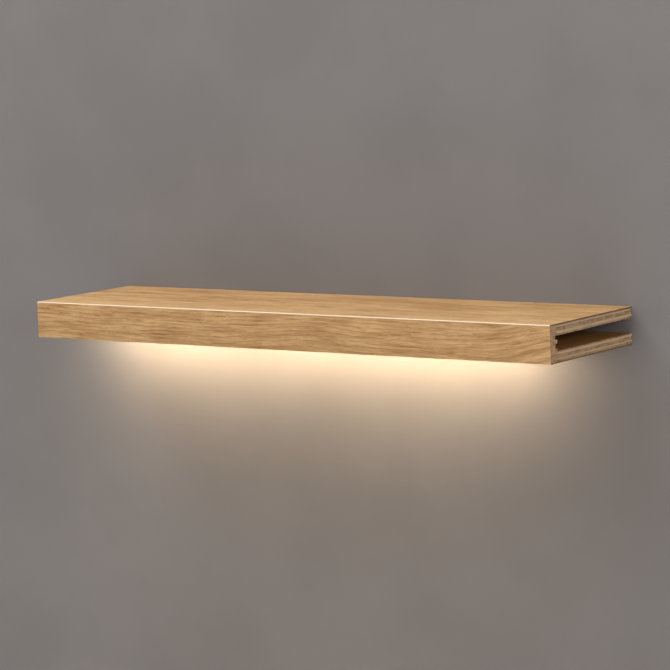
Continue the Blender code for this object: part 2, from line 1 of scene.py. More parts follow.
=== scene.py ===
"""Alcove shelf: the looks of an oak-faced floating shelf with a light set in its underside.

The file is laid out as a Blender add-on and run as a script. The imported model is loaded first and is
never changed. Every piece made here stands in its frame: metres, +X along the shelf, +Y into the wall
and +Z up.
"""

import math
from contextlib import contextmanager

import bmesh
import bpy
from bpy.props import FloatProperty, FloatVectorProperty, PointerProperty
from mathutils import Matrix, Vector, noise


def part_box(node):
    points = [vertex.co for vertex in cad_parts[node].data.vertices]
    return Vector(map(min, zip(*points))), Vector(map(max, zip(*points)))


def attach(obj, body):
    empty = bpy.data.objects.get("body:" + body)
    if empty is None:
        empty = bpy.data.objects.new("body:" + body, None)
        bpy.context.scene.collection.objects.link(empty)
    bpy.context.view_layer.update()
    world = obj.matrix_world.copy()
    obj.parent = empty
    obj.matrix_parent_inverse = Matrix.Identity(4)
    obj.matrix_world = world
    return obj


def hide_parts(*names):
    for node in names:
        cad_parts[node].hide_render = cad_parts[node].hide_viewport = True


bl_info = {
    "name": "Alcove shelf",
    "version": (1, 0, 0),
    "blender": (4, 5, 0),
    "location": "3D View > Sidebar > Alcove shelf",
    "description": "An oak-faced floating shelf on a wall batten, with a light in its underside",
    "category": "Object",
}

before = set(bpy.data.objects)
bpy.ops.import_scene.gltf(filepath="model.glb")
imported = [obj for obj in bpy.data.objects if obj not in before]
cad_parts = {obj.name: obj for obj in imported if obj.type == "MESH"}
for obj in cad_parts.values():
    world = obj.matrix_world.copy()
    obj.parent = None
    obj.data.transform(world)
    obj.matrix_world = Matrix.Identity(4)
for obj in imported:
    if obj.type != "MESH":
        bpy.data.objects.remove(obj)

X, Y, Z = 0, 1, 2
AXES = (Vector((1, 0, 0)), Vector((0, 1, 0)), Vector((0, 0, 1)))

# Corners closer than this are one corner.
SAME = 1e-6

# Faces that meet at less than the first angle are one face. Edges past the second are rounded where a whole
# piece is eased, and those between the last two are square.
FLAT = math.radians(0.5)
SHARP = math.radians(40)
SQUARE = (1.4, 1.75)

# A face looks along an axis where its normal has more than this of it.
FACING = 0.9

# The five plies of each board, from its oak face inwards: thickness, and whether the grain runs along X.
PLIES = {
    "top_board": ((0.0010, True), (0.0026, False), (0.0056, True), (0.0046, False), (0.0024, True)),
    "bottom_board": ((0.0033, True), (0.0024, False), (0.0052, True), (0.0033, False), (0.0020, True)),
}

# How far a seed moves its pattern: noise, cells, and the chips and facets of a sawn end.
NOISE_STEP = (7.31, 3.17, 5.53)
CELL_STEP = (2.9, 4.3, 1.7)
CHIP_STEP = 9.1
FACET_STEP = 3.7

# Chips in a sawn end's edges: what is added to their noise, where the edge is whole below a sum of 0, how
# strongly that sum breaks the edge, and the most of the thickness that breaks out.
CHIP_SHARE = 0.1
CHIP_GAIN = 2
CHIP_LIMIT = 1 / 4

# Marks along the grain of oak: length, width, seed, detail, and the noise that they start and are full at.
OAK_MARKS = {
    "broken_ring": (0.034, 0.0020, 2, 4.0, 0.42, 0.56),
    "vein": (0.150, 0.0017, 11, 2.0, 0.63, 0.70),
    "fine": (0.014, 0.0011, 9, 2.0, 0.60, 0.68),
    "pale": (0.030, 0.0019, 6, 3.0, 0.60, 0.68),
    "pore": (0.012, 0.00045, 5, 2.0, 0.60, 0.70),
}

DUST = (0.5, 0.48, 0.45)

# Turns a screw that is made head up, its flat at the origin.
HEAD_DOWN = Matrix.Rotation(math.pi, 4, "X")
HEAD_TO_WALL = Matrix.Rotation(-math.pi / 2, 4, "X")
HEAD_UP = Matrix.Identity(4)

# Where the camera stands: turned and tipped about the point it looks at, and rolled about its view. The
# last is how far it sees.
CAMERA_TARGET = Vector((0.0207, -0.125, -0.0199))
CAMERA_DISTANCE = 4.993
CAMERA_YAW = math.radians(34.83)
CAMERA_PITCH = math.radians(7.05)
CAMERA_ROLL = math.radians(-2.0)
CAMERA_LENS = 165.5
CAMERA_REACH = 100

# The lamps: place, the point they face, size, brightness and colour.
LAMPS = {
    "key_lamp": ((-1.7, -2.3, 3.3), (0, -0.1, 0), 1.6, 62.0, (1.0, 0.98, 0.95)),
    "top_lamp": ((-0.4, -0.9, 3.5), (0, -0.12, 0), 1.6, 55.0, (1.0, 0.98, 0.95)),
    "end_lamp": ((2.8, -0.85, 0.7), (0.45, -0.12, 0), 0.7, 22.0, (1.0, 0.98, 0.95)),
    "left_lamp": ((-2.8, -0.75, 0.7), (-0.45, -0.12, 0), 0.7, 8.0, (1.0, 0.98, 0.95)),
    "fill_lamp": ((2.6, -2.6, 0.6), (0.3, -0.1, 0), 1.8, 8.0, (1.0, 0.98, 0.96)),
    "low_lamp": ((0.0, -2.4, -0.5), (0.0, -0.1, 0), 1.6, 3.0, (1.0, 0.97, 0.93)),
    "rear_lamp": ((-1.0, 3.0, 2.0), (0, 0, 0), 2.0, 60.0, (1.0, 0.99, 0.98)),
}


def tone(red, green, blue):
    """A colour written as it looks on a screen, from 0 to 255, as the linear colour that shaders use."""
    def linear(value):
        value /= 255
        return value / 12.92 if value <= 0.04045 else ((value + 0.055) / 1.055) ** 2.4
    return tuple(linear(value) for value in (red, green, blue))


def size(label, text, value):
    return FloatProperty(name=label, description=text, default=value, min=0.0, unit="LENGTH", precision=5)


def amount(label, text, value, top=1.0):
    return FloatProperty(name=label, description=text, default=value, min=0.0, max=top)


def colour(label, text, *value):
    return FloatVectorProperty(
        name=label, description=text, subtype="COLOR", size=3, min=0.0, max=1.0, default=tone(*value)
    )


class ShelfSizes(bpy.types.PropertyGroup):
    """Sizes that the finish adds to the model's own."""

    arris_radius: size("Arris", "Rounding of the top's front edge", 0.0012)
    board_easing: size("Board easing", "Rounding of the front board's profile", 0.0003)
    bearer_easing: size("Batten easing", "Rounding of the batten's and arms' edges", 0.0014)
    metal_easing: size("Metal easing", "Rounding of the channel's and clips' edges", 0.00015)
    plastic_easing: size("Plastic easing", "Rounding of moulded edges", 0.0004)
    saw_pitch: size("Saw pitch", "Width of the facets that a sawn end is made of", 0.002)
    saw_depth: size("Saw depth", "Deepest that a sawn end's facets are set back", 0.00035)
    chip_depth: size("Chip depth", "Most that breaks out of a sawn end's edges", 0.0009)
    glue_line: size("Glue line", "Gap between one ply and the next", 0.0001)
    flute_depth: size("Flute depth", "Depth of the grooves along a dowel", 0.00025)
    thread_depth: amount("Thread depth", "A thread's depth as a share of the screw's radius", 0.32)


class ShelfColours(bpy.types.PropertyGroup):
    """Colours of the shelf's finishes."""

    oak_pale: colour("Oak", "Open wood of the oak faces", 207, 165, 111)
    # Painted light: the top's oak is painted paler towards its front edge, as if lit more there than by the
    # wall.
    oak_sapwood: colour("Oak sapwood", "Palest wood, towards the top's front edge", 228, 190, 136)
    oak_brown: colour("Oak grain", "Darker rings and pores of the oak faces", 150, 101, 47)
    # Painted highlight: the pale line laid along the top's rounded front edge, where light catches it.
    oak_arris_highlight: colour("Oak arris", "Fresh wood along the top's rounded front edge", 250, 226, 196)
    oak_end: colour("Oak end", "Cut end of the oak faces", 118, 90, 62)
    front_end: colour("Front board end", "Cut end of the front board", 173, 138, 102)
    front_side: colour("Front board", "Raw profile of the front board", 160, 120, 80)
    ply_along: colour("Ply end grain", "Plies whose grain runs along the shelf, at their ends", 168, 133, 97)
    ply_across: colour("Ply side grain", "Plies whose grain runs across the shelf", 181, 155, 125)
    ply_floor: colour("Ply face", "Face of the boards inside the cavity", 150, 104, 43)
    pine_pale: colour("Pine", "Batten and arms", 222, 188, 140)
    pine_ring: colour("Pine rings", "Late wood of the batten and arms", 186, 134, 80)
    beech_pale: colour("Beech", "Dowels", 214, 176, 134)
    beech_fleck: colour("Beech flecks", "Rays of the dowels", 172, 124, 84)
    zinc_yellow: colour("Zinc", "Plating of the screws", 208, 186, 124)
    zinc_grey: colour("Zinc, thin", "Where the screws' plating is thin", 186, 186, 180)
    spring_steel: colour("Spring steel", "Clips and saddle", 178, 179, 182)
    aluminium: colour("Aluminium", "Light channel", 206, 207, 209)
    opal: colour("Opal", "Diffuser", 246, 240, 226)
    lamp_warm: colour("Light", "Warm light of the strip", 255, 214, 170)
    circuit: colour("Circuit", "Face of the light strip", 236, 236, 230)
    copper: colour("Copper", "Solder pads of the light strip", 214, 150, 96)
    phosphor: colour("Phosphor", "Window of each light chip", 244, 214, 110)
    white_plastic: colour("White plastic", "Strip connector", 232, 232, 228)
    grey_plastic: colour("Grey plastic", "Channel end caps", 176, 177, 179)
    black_plastic: colour("Black plastic", "Supply socket and negative wire", 38, 38, 40)
    black_rubber: colour("Rubber", "Grommet", 32, 32, 33)
    red_insulation: colour("Red insulation", "Positive wire", 178, 38, 30)


class StudioLook(bpy.types.PropertyGroup):
    """The wall, the floor and the light around the shelf."""

    wall: colour("Wall", "Colour of the wall behind the shelf", 122, 118, 117)
    floor: colour("Floor", "Colour of the floor", 214, 212, 208)
    air: colour("Surroundings", "Colour of the light from all round", 238, 240, 244)
    air_level: amount("Surroundings level", "Strength of the light from all round", 0.55, 10.0)
    wall_half: size("Wall half width", "Distance from the shelf to the wall's sides", 4.0)
    floor_drop: size("Floor drop", "Height of the shelf's middle above the floor", 0.85)
    glow: amount("Glow", "Power of the light that the strip throws on the wall", 4.0, 100.0)
    glow_warm: colour("Glow colour", "Colour of that light", 255, 226, 184)
    glow_width: size("Glow width", "Width of the light that leaves the diffuser", 0.012)
    glow_reach: size("Glow reach", "How far most of that light spreads past the strip's left end", 0.03)
    spill_reach: size("Spill reach", "How far the rest of it spreads past both ends", 0.08)
    spill: amount("Spill", "Share of that light which spreads past both ends", 0.2)
    diffuser_level: amount("Diffuser level", "How bright the diffuser itself looks", 0.8, 100.0)


class Signal:
    """A shader socket in Python sums. Each operator adds the Math node that works it out."""

    def __init__(self, tree, socket=None):
        self.tree = tree
        self.socket = socket

    def node(self, kind, settings=None, sockets=None, output=0):
        """Add a node of any kind: its settings first, then the values or links of its sockets."""
        made = self.tree.nodes.new("ShaderNode" + kind)
        for name, value in (settings or {}).items():
            setattr(made, name, value)
        for name, value in (sockets or {}).items():
            if isinstance(value, Signal):
                self.tree.links.new(value.socket, made.inputs[name])
            else:
                made.inputs[name].default_value = value
        return Signal(self.tree, made.outputs[output])

    def math(self, operation, *others):
        return self.node("Math", {"operation": operation}, dict(enumerate((self, *others))))

    def __add__(self, other):
        return self.math("ADD", other)

    __radd__ = __add__

    def __sub__(self, other):
        return self.math("SUBTRACT", other)

    def __rsub__(self, other):
        return self.node("Math", {"operation": "SUBTRACT"}, {0: other, 1: self})

    def __mul__(self, other):
        return self.math("MULTIPLY", other)

    __rmul__ = __mul__

    def __truediv__(self, other):
        return self.math("DIVIDE", other)

    def __pow__(self, other):
        return self.math("POWER", other)

    def __abs__(self):
        return self.math("ABSOLUTE")

    def part(self, axis):
        """One of the three numbers of a vector."""
        return self.node("SeparateXYZ", {}, {0: self}, axis)

    def between(self, low, high):
        """0 where this is at low, 1 at high, and a soft step from one to the other."""
        settings = {"interpolation_type": "SMOOTHSTEP"}
        return self.node("MapRange", settings, {"Value": self, "From Min": low, "From Max": high})

    def blend(self, first, second):
        """The first colour where this is 0 and the second where it is 1."""
        sides = {6: as_colour(first), 7: as_colour(second)}
        return self.node("Mix", {"data_type": "RGBA"}, {0: self, **sides}, output=2)

    def widened(self):
        """Noise, whose values lie about its middle, spread from 0 to 1."""
        return self.between(0.3, 0.7)

    def bump(self, depth, strength):
        """A surface that this height stands up from, by up to this depth in metres."""
        return self.node("Bump", {}, {"Height": self, "Distance": depth, "Strength": strength})


def as_colour(value):
    return value if isinstance(value, Signal) else (*value, 1.0)


def layered(base, *layers):
    """A colour with others laid over it, each by its mask: 0 leaves what is below, and 1 covers it."""
    for mask, shade in layers:
        base = mask.blend(base, shade)
    return base


def seeded(place, seed, step, scale):
    """The place for one pattern: scaled, and moved by the seed's steps."""
    offset = tuple(seed * way for way in step)
    return place.node("Mapping", {}, {"Vector": place, "Location": offset, "Scale": scale})


def drawn_out(place, lengths, seed, detail=2.0):
    """Noise whose blotches have these lengths, in metres, along X, Y and Z."""
    stretched = seeded(place, seed, NOISE_STEP, tuple(1 / length for length in lengths))
    return place.node("TexNoise", {}, {"Vector": stretched, "Scale": 1.0, "Detail": detail})


def along(place, long, fine, seed, detail=2.0):
    """Noise drawn out along X into streaks."""
    return drawn_out(place, (long, fine, fine), seed, detail)


def speckle(place, width, seed, detail=2.0):
    """Noise with round blotches of this width."""
    return drawn_out(place, (width,) * 3, seed, detail)


def cells(place, width, seed):
    """Random brightness of small round cells."""
    placed = seeded(place, seed, CELL_STEP, (1 / width,) * 3)
    return place.node("TexVoronoi", {}, {"Vector": placed, "Scale": 1.0})


# In the paints, lengths are in metres. A mask's factor is how strongly its layer shows. A colour's factor is
# how bright it is beside the colour that the scene holds.


def finish(name, paint, *choices, **options):
    """A material. The paint function takes the place on the piece, then the rest, and gives the sockets."""
    made = bpy.data.materials.new(name)
    made.use_nodes = True
    shader = made.node_tree.nodes["Principled BSDF"]
    place = Signal(made.node_tree).node("TexCoord", output="Object")
    for socket, value in paint(place, *choices, **options).items():
        if isinstance(value, Signal):
            made.node_tree.links.new(value.socket, shader.inputs[socket])
        else:
            shader.inputs[socket].default_value = value
    return made


def sawn(place, grain=X):
    """1 on faces that look along the grain's axis, where the wood is cut across, and 0 on the others."""
    across = abs(place.node("TexCoord", output="Normal").part(grain))
    return across.between(0.5, 0.8)


def rings(place, pith, tilt, spacing, seed, sway=0.034, wobble=0.0055):
    """A tree's yearly rings about a pith line that runs along X: 0 at a ring's inside, 1 at its edge."""
    slow = (along(place, 0.38, 0.085, seed) - 0.5) * sway
    quick = (along(place, 0.075, 0.019, seed + 1) - 0.5) * wobble
    radius = ((place.part(Y) - pith[0]) ** 2 + (place.part(Z) - pith[1]) ** 2) ** 0.5
    return ((radius + place.part(X) * tilt + slow + quick) / spacing).math("FRACT")


def moved(place, y=0, z=0):
    """The place, moved along Y and Z by these amounts."""
    step = place.node("CombineXYZ", {}, {"Y": y, "Z": z})
    return place.node("VectorMath", {"operation": "ADD"}, {0: place, 1: step})


def oak_paint(
    place, colours, seed, ring, flow, patch, ring_depth, streak=0.0, sapwood=None, arris=None, cut=None
):
    """Open-pored oak, cut flat. Its rings break up into short dark pores, with pale flecks beside them.

    The ring function gives the rings' pattern, and ring_depth how strongly they show. The flow function
    moves the place, so that the fibres run in slow waves. Patch is how long and high the wood's lighter
    and darker areas are. Streak is how strongly broad streaks show. The front-light function gives 1
    where painted light makes the top palest, along its front edge, and arris gives 1 on the rounded edge,
    where a pale painted highlight is laid. Cut is the colour of the sawn ends.
    """
    cut = Vector(cut or colours.oak_end)
    pale, brown = Vector(colours.oak_pale), Vector(colours.oak_brown)

    def open_wood(level):
        """The open wood, brighter or darker. Its red changes least and its blue most."""
        return Vector((pale.x * level ** 0.8, pale.y * level ** 1.05, pale.z * level ** 1.5))

    still, place = place, flow(place)

    def marks(name):
        length, width, step, detail, low, high = OAK_MARKS[name]
        return along(place, length, width, seed + step, detail).between(low, high)

    end = sawn(still)
    mottled = cells(still, 0.0011, seed)
    figure = drawn_out(still, (0.011, 0.03, 0.02), seed + 10, 3.0).between(0.35, 0.65)
    area = drawn_out(place, (patch[0], patch[1], patch[1]), seed + 7, 4.0)
    fibre = along(place, 0.03, 0.0009, seed + 4, 3.0)
    dash = along(place, 0.040, 0.0017, seed + 3, 3.0) + (area - 0.5) * 0.30
    dash = dash.between(0.59, 0.66)
    fine, pore = marks("fine"), marks("pore")
    grain = (ring(place) ** 2.5) * (0.25 + 0.75 * marks("broken_ring"))

    wood = area.between(0.34, 0.66).blend(open_wood(1.12), pale.lerp(brown, 0.36))
    # Painted light: the top is painted paler towards its front edge and darker towards the wall.
    if sapwood:
        wood = (sapwood(still) * 0.8).blend(wood, colours.oak_sapwood)
    wood = (figure * 0.16).blend(wood, open_wood(0.72))
    if streak:
        band = drawn_out(place, (0.17, 0.0098, 0.0098), seed + 12, 4.0)
        wood = layered(
            wood,
            (band.between(0.53, 0.68) * streak, pale.lerp(brown, 0.75)),
            ((1 - band).between(0.55, 0.68) * streak, open_wood(1.3)),
        )
    wood = layered(
        wood,
        (fibre.widened() * 0.26, pale.lerp(brown, 0.6)),
        (marks("pale") * 0.65, open_wood(1.25)),
        (grain * ring_depth, brown),
        (marks("vein") * 0.68, brown * 0.90),
        (dash * 0.72, brown * 0.92),
        (fine * 0.45, brown * 0.72),
        (pore * 0.40, brown * 0.60),
        (end, mottled.between(0.0, 0.9).blend(cut, cut * 0.6)),
    )
    # Painted highlight: the rounded front edge is painted pale, a little unevenly along its length.
    if arris:
        arris_highlight = arris(still) * (0.86 + 0.14 * along(still, 0.02, 0.004, seed + 8))
        wood = (arris_highlight * (1 - end)).blend(wood, colours.oak_arris_highlight)
    rough = 0.46 + pore * 0.2 + end * 0.3
    height = fibre * 0.4 - pore * 0.8 - dash * 0.4 - fine * 0.5 - end * mottled
    return {"Base Color": wood, "Roughness": rough, "Normal": height.bump(0.00012, 0.6)}


def raw_wood_paint(place, side, cut, seed, cell=0.0012):
    """Planed wood with its grain along X, and a darker mottled end where it is sawn across.

    Side and cut are the colours of its faces and its ends, and cell is the width of the ends' mottling.
    """
    side, cut = Vector(side), Vector(cut)
    ring = rings(place, (0.03, 0.09), 0.02, 0.0026, seed)
    fibre = along(place, 0.03, 0.0008, seed + 2, 3.0)
    cloud = along(place, 0.2, 0.02, seed + 3)
    mottled = cells(place, cell, seed)
    blotch = drawn_out(place, (0.02, 0.0105, 0.0032), seed + 4, 4.0)
    end = sawn(place)
    ends = layered(
        cut * 1.08,
        (mottled.between(0.1, 0.9), cut * 0.74),
        (blotch.between(0.46, 0.62), cut * 0.54),
    )
    wood = layered(
        side * 1.08,
        (ring ** 2 * 0.5, side * 0.70),
        (fibre.widened() * 0.4, side * 0.78),
        (cloud.widened() * 0.25, side * 0.75),
        (end, ends),
    )
    height = fibre * 0.5 - end * mottled * 1.5
    return {"Base Color": wood, "Roughness": 0.7 + 0.1 * fibre, "Normal": height.bump(0.00015, 0.7)}


def cross_ply_paint(place, pale, seed):
    """A ply whose grain runs along Y, so that the shelf's ends show its long fibres."""
    pale = Vector(pale)
    fibre = drawn_out(place, (0.0009, 0.03, 0.0009), seed, 3.0)
    cloud = drawn_out(place, (0.01, 0.05, 0.003), seed + 1, 3.0)
    wood = layered(
        pale * 1.05,
        (fibre.widened() * 0.5, pale * 0.80),
        (cloud.between(0.45, 0.75) * 0.55, pale * 0.62),
    )
    return {"Base Color": wood, "Roughness": 0.78, "Normal": fibre.bump(0.00015, 0.7)}


def pine_paint(place, colours, seed, grain=X):
    """Planed softwood: pale, with amber late-wood lines and a few resin streaks."""
    amber = Vector(colours.pine_ring)
    end = sawn(place, grain)
    if grain == Y:
        place = place.node("Mapping", {}, {"Vector": place, "Rotation": (0, 0, math.pi / 2)})
    ring = rings(place, (-0.02, 0.06), 0.012, 0.0042, seed)
    fibre = along(place, 0.05, 0.001, seed + 2, 3.0)
    resin = along(place, 0.03, 0.0012, seed + 3).between(0.70, 0.76)
    wood = layered(
        colours.pine_pale,
        (ring ** 4 * 0.9, amber),
        (fibre.widened() * 0.25, amber * 1.1),
        (resin * 0.6, amber * 0.5),
        (end * 0.45, amber * 0.7),
    )
    height = fibre * 0.6 + ring ** 4
    return {"Base Color": wood, "Roughness": 0.62 - 0.1 * ring, "Normal": height.bump(0.0001, 0.6)}


def beech_paint(place, colours):
    """Smooth beech with short dark rays along the dowel, whose grain runs along Y."""
    fleck = Vector(colours.beech_fleck)
    ray = drawn_out(place, (0.0005, 0.003, 0.0005), 40).between(0.60, 0.68)
    fibre = drawn_out(place, (0.0006, 0.02, 0.0006), 41, 3.0)
    wood = layered(colours.beech_pale, (fibre.widened() * 0.4, fleck * 1.2), (ray * 0.7, fleck))
    return {"Base Color": wood, "Roughness": 0.6, "Normal": fibre.bump(0.00005, 0.5)}


def zinc_paint(place, colours):
    """Yellow-passivated zinc: a gold tint that comes and goes, with fine rubbing marks."""
    tint = speckle(place, 0.006, 50, 3.0).between(0.35, 0.62)
    scuff = speckle(place, 0.0006, 51, 3.0)
    metal = layered(
        colours.zinc_grey,
        (tint, colours.zinc_yellow),
        (scuff.between(0.55, 0.8) * 0.5, Vector(colours.zinc_grey) * 0.6),
    )
    rough = 0.26 + 0.22 * scuff
    return {"Base Color": metal, "Metallic": 1.0, "Roughness": rough, "Normal": scuff.bump(0.00002, 0.5)}


def drawn_metal_paint(place, shade, lengths, seed, rough):
    """Sheet or extruded metal with fine lines in the direction that it was drawn."""
    shade = Vector(shade)
    line = drawn_out(place, lengths, seed, 4.0)
    cloud = drawn_out(place, (0.05, 0.02, 0.02), seed + 1)
    metal = layered(
        shade * 0.86,
        (line.between(0.25, 0.75), shade * 1.05),
        (cloud.between(0.4, 0.7) * 0.25, shade * 0.78),
    )
    rough = rough + 0.16 * line
    return {"Base Color": metal, "Metallic": 1.0, "Roughness": rough, "Normal": line.bump(0.00003, 0.5)}


def copper_paint(place, colours):
    """Tinned copper, cloudy where it was soldered."""
    cloud = speckle(place, 0.0008, 72, 3.0)
    metal = cloud.widened().blend(Vector(colours.copper) * 0.8, colours.copper)
    return {"Base Color": metal, "Metallic": 1.0, "Roughness": 0.3 + 0.2 * cloud}


def opal_paint(place, colours, level, pitch, first):
    """Lit opal plastic, a little brighter over each light chip behind it."""
    over_chip = ((place.part(X) - first) / pitch * math.tau).math("COSINE") * 0.5 + 0.5
    haze = drawn_out(place, (0.02, 0.01, 0.01), 60, 3.0)
    warm = Vector(colours.lamp_warm)
    light = (over_chip * 0.6 + haze * 0.2).blend(warm * 0.88, warm)
    shade = haze.blend(Vector(colours.opal) * 0.95, colours.opal)
    return {
        "Base Color": shade,
        "Roughness": 0.42 + 0.1 * haze,
        "Emission Color": light,
        "Emission Strength": level,
        "Normal": haze.bump(0.00003, 0.3),
    }


def phosphor_paint(place, colours):
    """The lit yellow window of a light chip."""
    grain = speckle(place, 0.0004, 75, 3.0)
    return {
        "Base Color": grain.widened().blend(Vector(colours.phosphor) * 0.85, colours.phosphor),
        "Roughness": 0.5,
        "Emission Color": grain.blend(Vector(colours.lamp_warm) * 0.9, colours.lamp_warm),
        "Emission Strength": 2.0,
    }


def plastic_paint(place, shade, seed, rough, grit=0.0004):
    """Moulded plastic: a fine even texture, faint flow marks and a little dust."""
    grain = speckle(place, grit, seed)
    flow = speckle(place, 0.012, seed + 1, 3.0)
    dust = speckle(place, 0.0015, seed + 2, 4.0).between(0.62, 0.8)
    base = layered(Vector(shade) * 0.85, (flow.widened(), shade), (dust * 0.12, DUST))
    return {"Base Color": base, "Roughness": rough + 0.12 * grain, "Normal": grain.bump(0.00003, 0.5)}


def select_only(*objects):
    """Select these objects alone. The first becomes the active one."""
    bpy.ops.object.select_all(action="DESELECT")
    for obj in objects:
        obj.select_set(True)
    bpy.context.view_layer.objects.active = objects[0]


def settle(name):
    """Name the new active object and put its place and size in its mesh."""
    obj = bpy.context.active_object
    obj.name = obj.data.name = name
    bpy.ops.object.transform_apply(location=True, rotation=True, scale=True)
    return obj


def block(name, low, high):
    """A box between two corners, to be shaped."""
    low, high = Vector(low), Vector(high)
    bpy.ops.object.select_all(action="DESELECT")
    bpy.ops.mesh.primitive_cube_add(size=1, location=(low + high) / 2, scale=high - low)
    return settle(name)


@contextmanager
def edit_mode(obj):
    """Edit mode on one object, with nothing selected at first."""
    select_only(obj)
    bpy.ops.object.mode_set(mode="EDIT")
    bpy.ops.mesh.select_all(action="DESELECT")
    yield
    bpy.ops.object.mode_set(mode="OBJECT")


def pick(obj, kind, test):
    """In edit mode, select the edges or the faces that pass the test."""
    bpy.ops.mesh.select_mode(type={"edges": "EDGE", "faces": "FACE"}[kind])
    bpy.ops.mesh.select_all(action="DESELECT")
    mesh = bmesh.from_edit_mesh(obj.data)
    for element in filter(test, getattr(mesh, kind)):
        element.select_set(True)
    mesh.select_flush_mode()
    bmesh.update_edit_mesh(obj.data)


def bevel_edges(obj, test, width, segments):
    """Round the edges of a piece that pass the test."""
    with edit_mode(obj):
        pick(obj, "edges", test)
        bpy.ops.mesh.bevel(offset=width, segments=segments, affect="EDGES")


def run(edge, axis):
    """How far an edge runs along an axis."""
    return abs(edge.verts[0].co[axis] - edge.verts[1].co[axis])


def sink(border, depth):
    """In edit mode, inset the selected face and move its middle along Z."""
    bpy.ops.mesh.inset(thickness=border)
    bpy.ops.mesh.extrude_region_move(TRANSFORM_OT_translate={"value": (0, 0, depth)})


def looks_down(face):
    return face.normal.z < -FACING


def spread(first, last, count):
    """Evenly spaced places from first to last."""
    return [first + (last - first) * i / (count - 1) for i in range(count)]


def solid_copy(node, name):
    """A piece that starts as a model node's solid, its triangles merged back into whole faces."""
    obj = bpy.data.objects.new(name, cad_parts[node].data.copy())
    bpy.context.scene.collection.objects.link(obj)
    select_only(obj)
    bpy.ops.mesh.customdata_custom_splitnormals_clear()
    with edit_mode(obj):
        bpy.ops.mesh.select_all(action="SELECT")
        bpy.ops.mesh.remove_doubles(threshold=SAME)
        bpy.ops.mesh.dissolve_limited(angle_limit=FLAT)
    return obj


def apply_modifier(obj, kind, **settings):
    """Add a modifier with these settings and apply it."""
    modifier = obj.modifiers.new(kind.lower(), kind)
    for name, value in settings.items():
        setattr(modifier, name, value)
    select_only(obj)
    bpy.ops.object.modifier_apply(modifier=modifier.name)


def ease(obj, width, segments=2):
    """Round every sharp edge of a piece."""
    apply_modifier(obj, "BEVEL", width=width, segments=segments, limit_method="ANGLE", angle_limit=SHARP)


def smooth(obj, angle=math.radians(35)):
    select_only(obj)
    bpy.ops.object.shade_smooth_by_angle(angle=angle)


def eased_copy(node, name, width):
    """A copy of a node's solid with its sharp edges rounded."""
    obj = solid_copy(node, name)
    ease(obj, width)
    smooth(obj)
    return obj


def bisect(axis, level, **settings):
    """In edit mode, cut what is selected across an axis. Only corners within SAME of the cut lie on it."""
    settings = {"plane_no": AXES[axis], "threshold": SAME, **settings}
    bpy.ops.mesh.bisect(plane_co=AXES[axis] * level, **settings)


def keep_between(obj, axis, low, high):
    """Cut away what lies below low and above high, and close the cuts."""
    with edit_mode(obj):
        for level, away in ((low, -AXES[axis]), (high, AXES[axis])):
            bpy.ops.mesh.select_all(action="SELECT")
            bisect(axis, level, plane_no=away, use_fill=True, clear_outer=True)


def facet_ends(obj, grain, wide, pitch):
    """Cut a ring round each end, cut both ends into a grid, and give the lowest and highest corner."""
    corners = [vertex.co for vertex in obj.data.vertices]
    low, high = Vector(map(min, *corners)), Vector(map(max, *corners))
    with edit_mode(obj):
        for level in (low[grain] + pitch, high[grain] - pitch):
            bpy.ops.mesh.select_all(action="SELECT")
            bisect(grain, level)
        for axis in (wide, Z):
            steps = max(2, round((high[axis] - low[axis]) / pitch))
            for level in spread(low[axis], high[axis], steps + 1)[1:-1]:
                pick(obj, "faces", lambda face: abs(face.normal[grain]) > FACING)
                bisect(axis, level)
    return low, high


def saw_ends(obj, sizes, seed, chip=0.0, grain=X):
    """Make both ends rough: a grid of facets, their corners set back, and chips broken out of the edges."""
    pitch, depth = sizes.saw_pitch, sizes.saw_depth
    wide = Y if grain == X else X
    low, high = facet_ends(obj, grain, wide, pitch)
    thick = high.z - low.z
    for vertex in obj.data.vertices:
        place = vertex.co
        for end, inward in ((low[grain], 1), (high[grain], -1)):
            if abs(place[grain] - end) > SAME:
                continue
            edge_place = Vector((seed * CHIP_STEP + inward, place[wide] / pitch / 2, place.z / thick))
            broken = max(0.0, noise.noise(edge_place) + CHIP_SHARE)
            grit = noise.noise(Vector((seed * FACET_STEP, place[wide] / pitch, place.z / pitch)))
            place[grain] += inward * depth * (0.5 + 0.5 * grit)
            for edge, back in ((low.z, 1), (high.z, -1)):
                if abs(place.z - edge) < SAME:
                    place.z += back * min(chip * broken * CHIP_GAIN, thick * CHIP_LIMIT)
                    place[grain] += inward * depth * broken


def ease_long_edges(obj, width, segments, shortest=0.01):
    """Round the edges between faces that meet squarely, where they are long."""
    def square(edge):
        long = edge.calc_length() > shortest and edge.is_manifold
        return long and SQUARE[0] < edge.calc_face_angle() < SQUARE[1]
    bevel_edges(obj, square, width, segments)


def turned(name, profile, steps):
    """A round piece about the Z axis: a corner, drawn along (radius, height) points and spun round."""
    points = [Vector((radius, 0, height)) for radius, height in profile]
    bpy.ops.object.select_all(action="DESELECT")
    bpy.ops.mesh.primitive_plane_add(size=SAME, location=points[0])
    obj = settle(name)
    with edit_mode(obj):
        bpy.ops.mesh.select_mode(type="VERT")
        bpy.ops.mesh.select_all(action="SELECT")
        bpy.ops.mesh.merge(type="CENTER")
        for before, after in zip(points, points[1:]):
            bpy.ops.mesh.extrude_vertices_move(TRANSFORM_OT_translate={"value": after - before})
        bpy.ops.mesh.select_all(action="SELECT")
        bpy.ops.mesh.spin(steps=steps, angle=math.tau, center=(0, 0, 0), axis=(0, 0, 1))
        bpy.ops.mesh.select_all(action="SELECT")
        bpy.ops.mesh.remove_doubles(threshold=SAME)
        bpy.ops.mesh.normals_make_consistent(inside=False)
    return obj


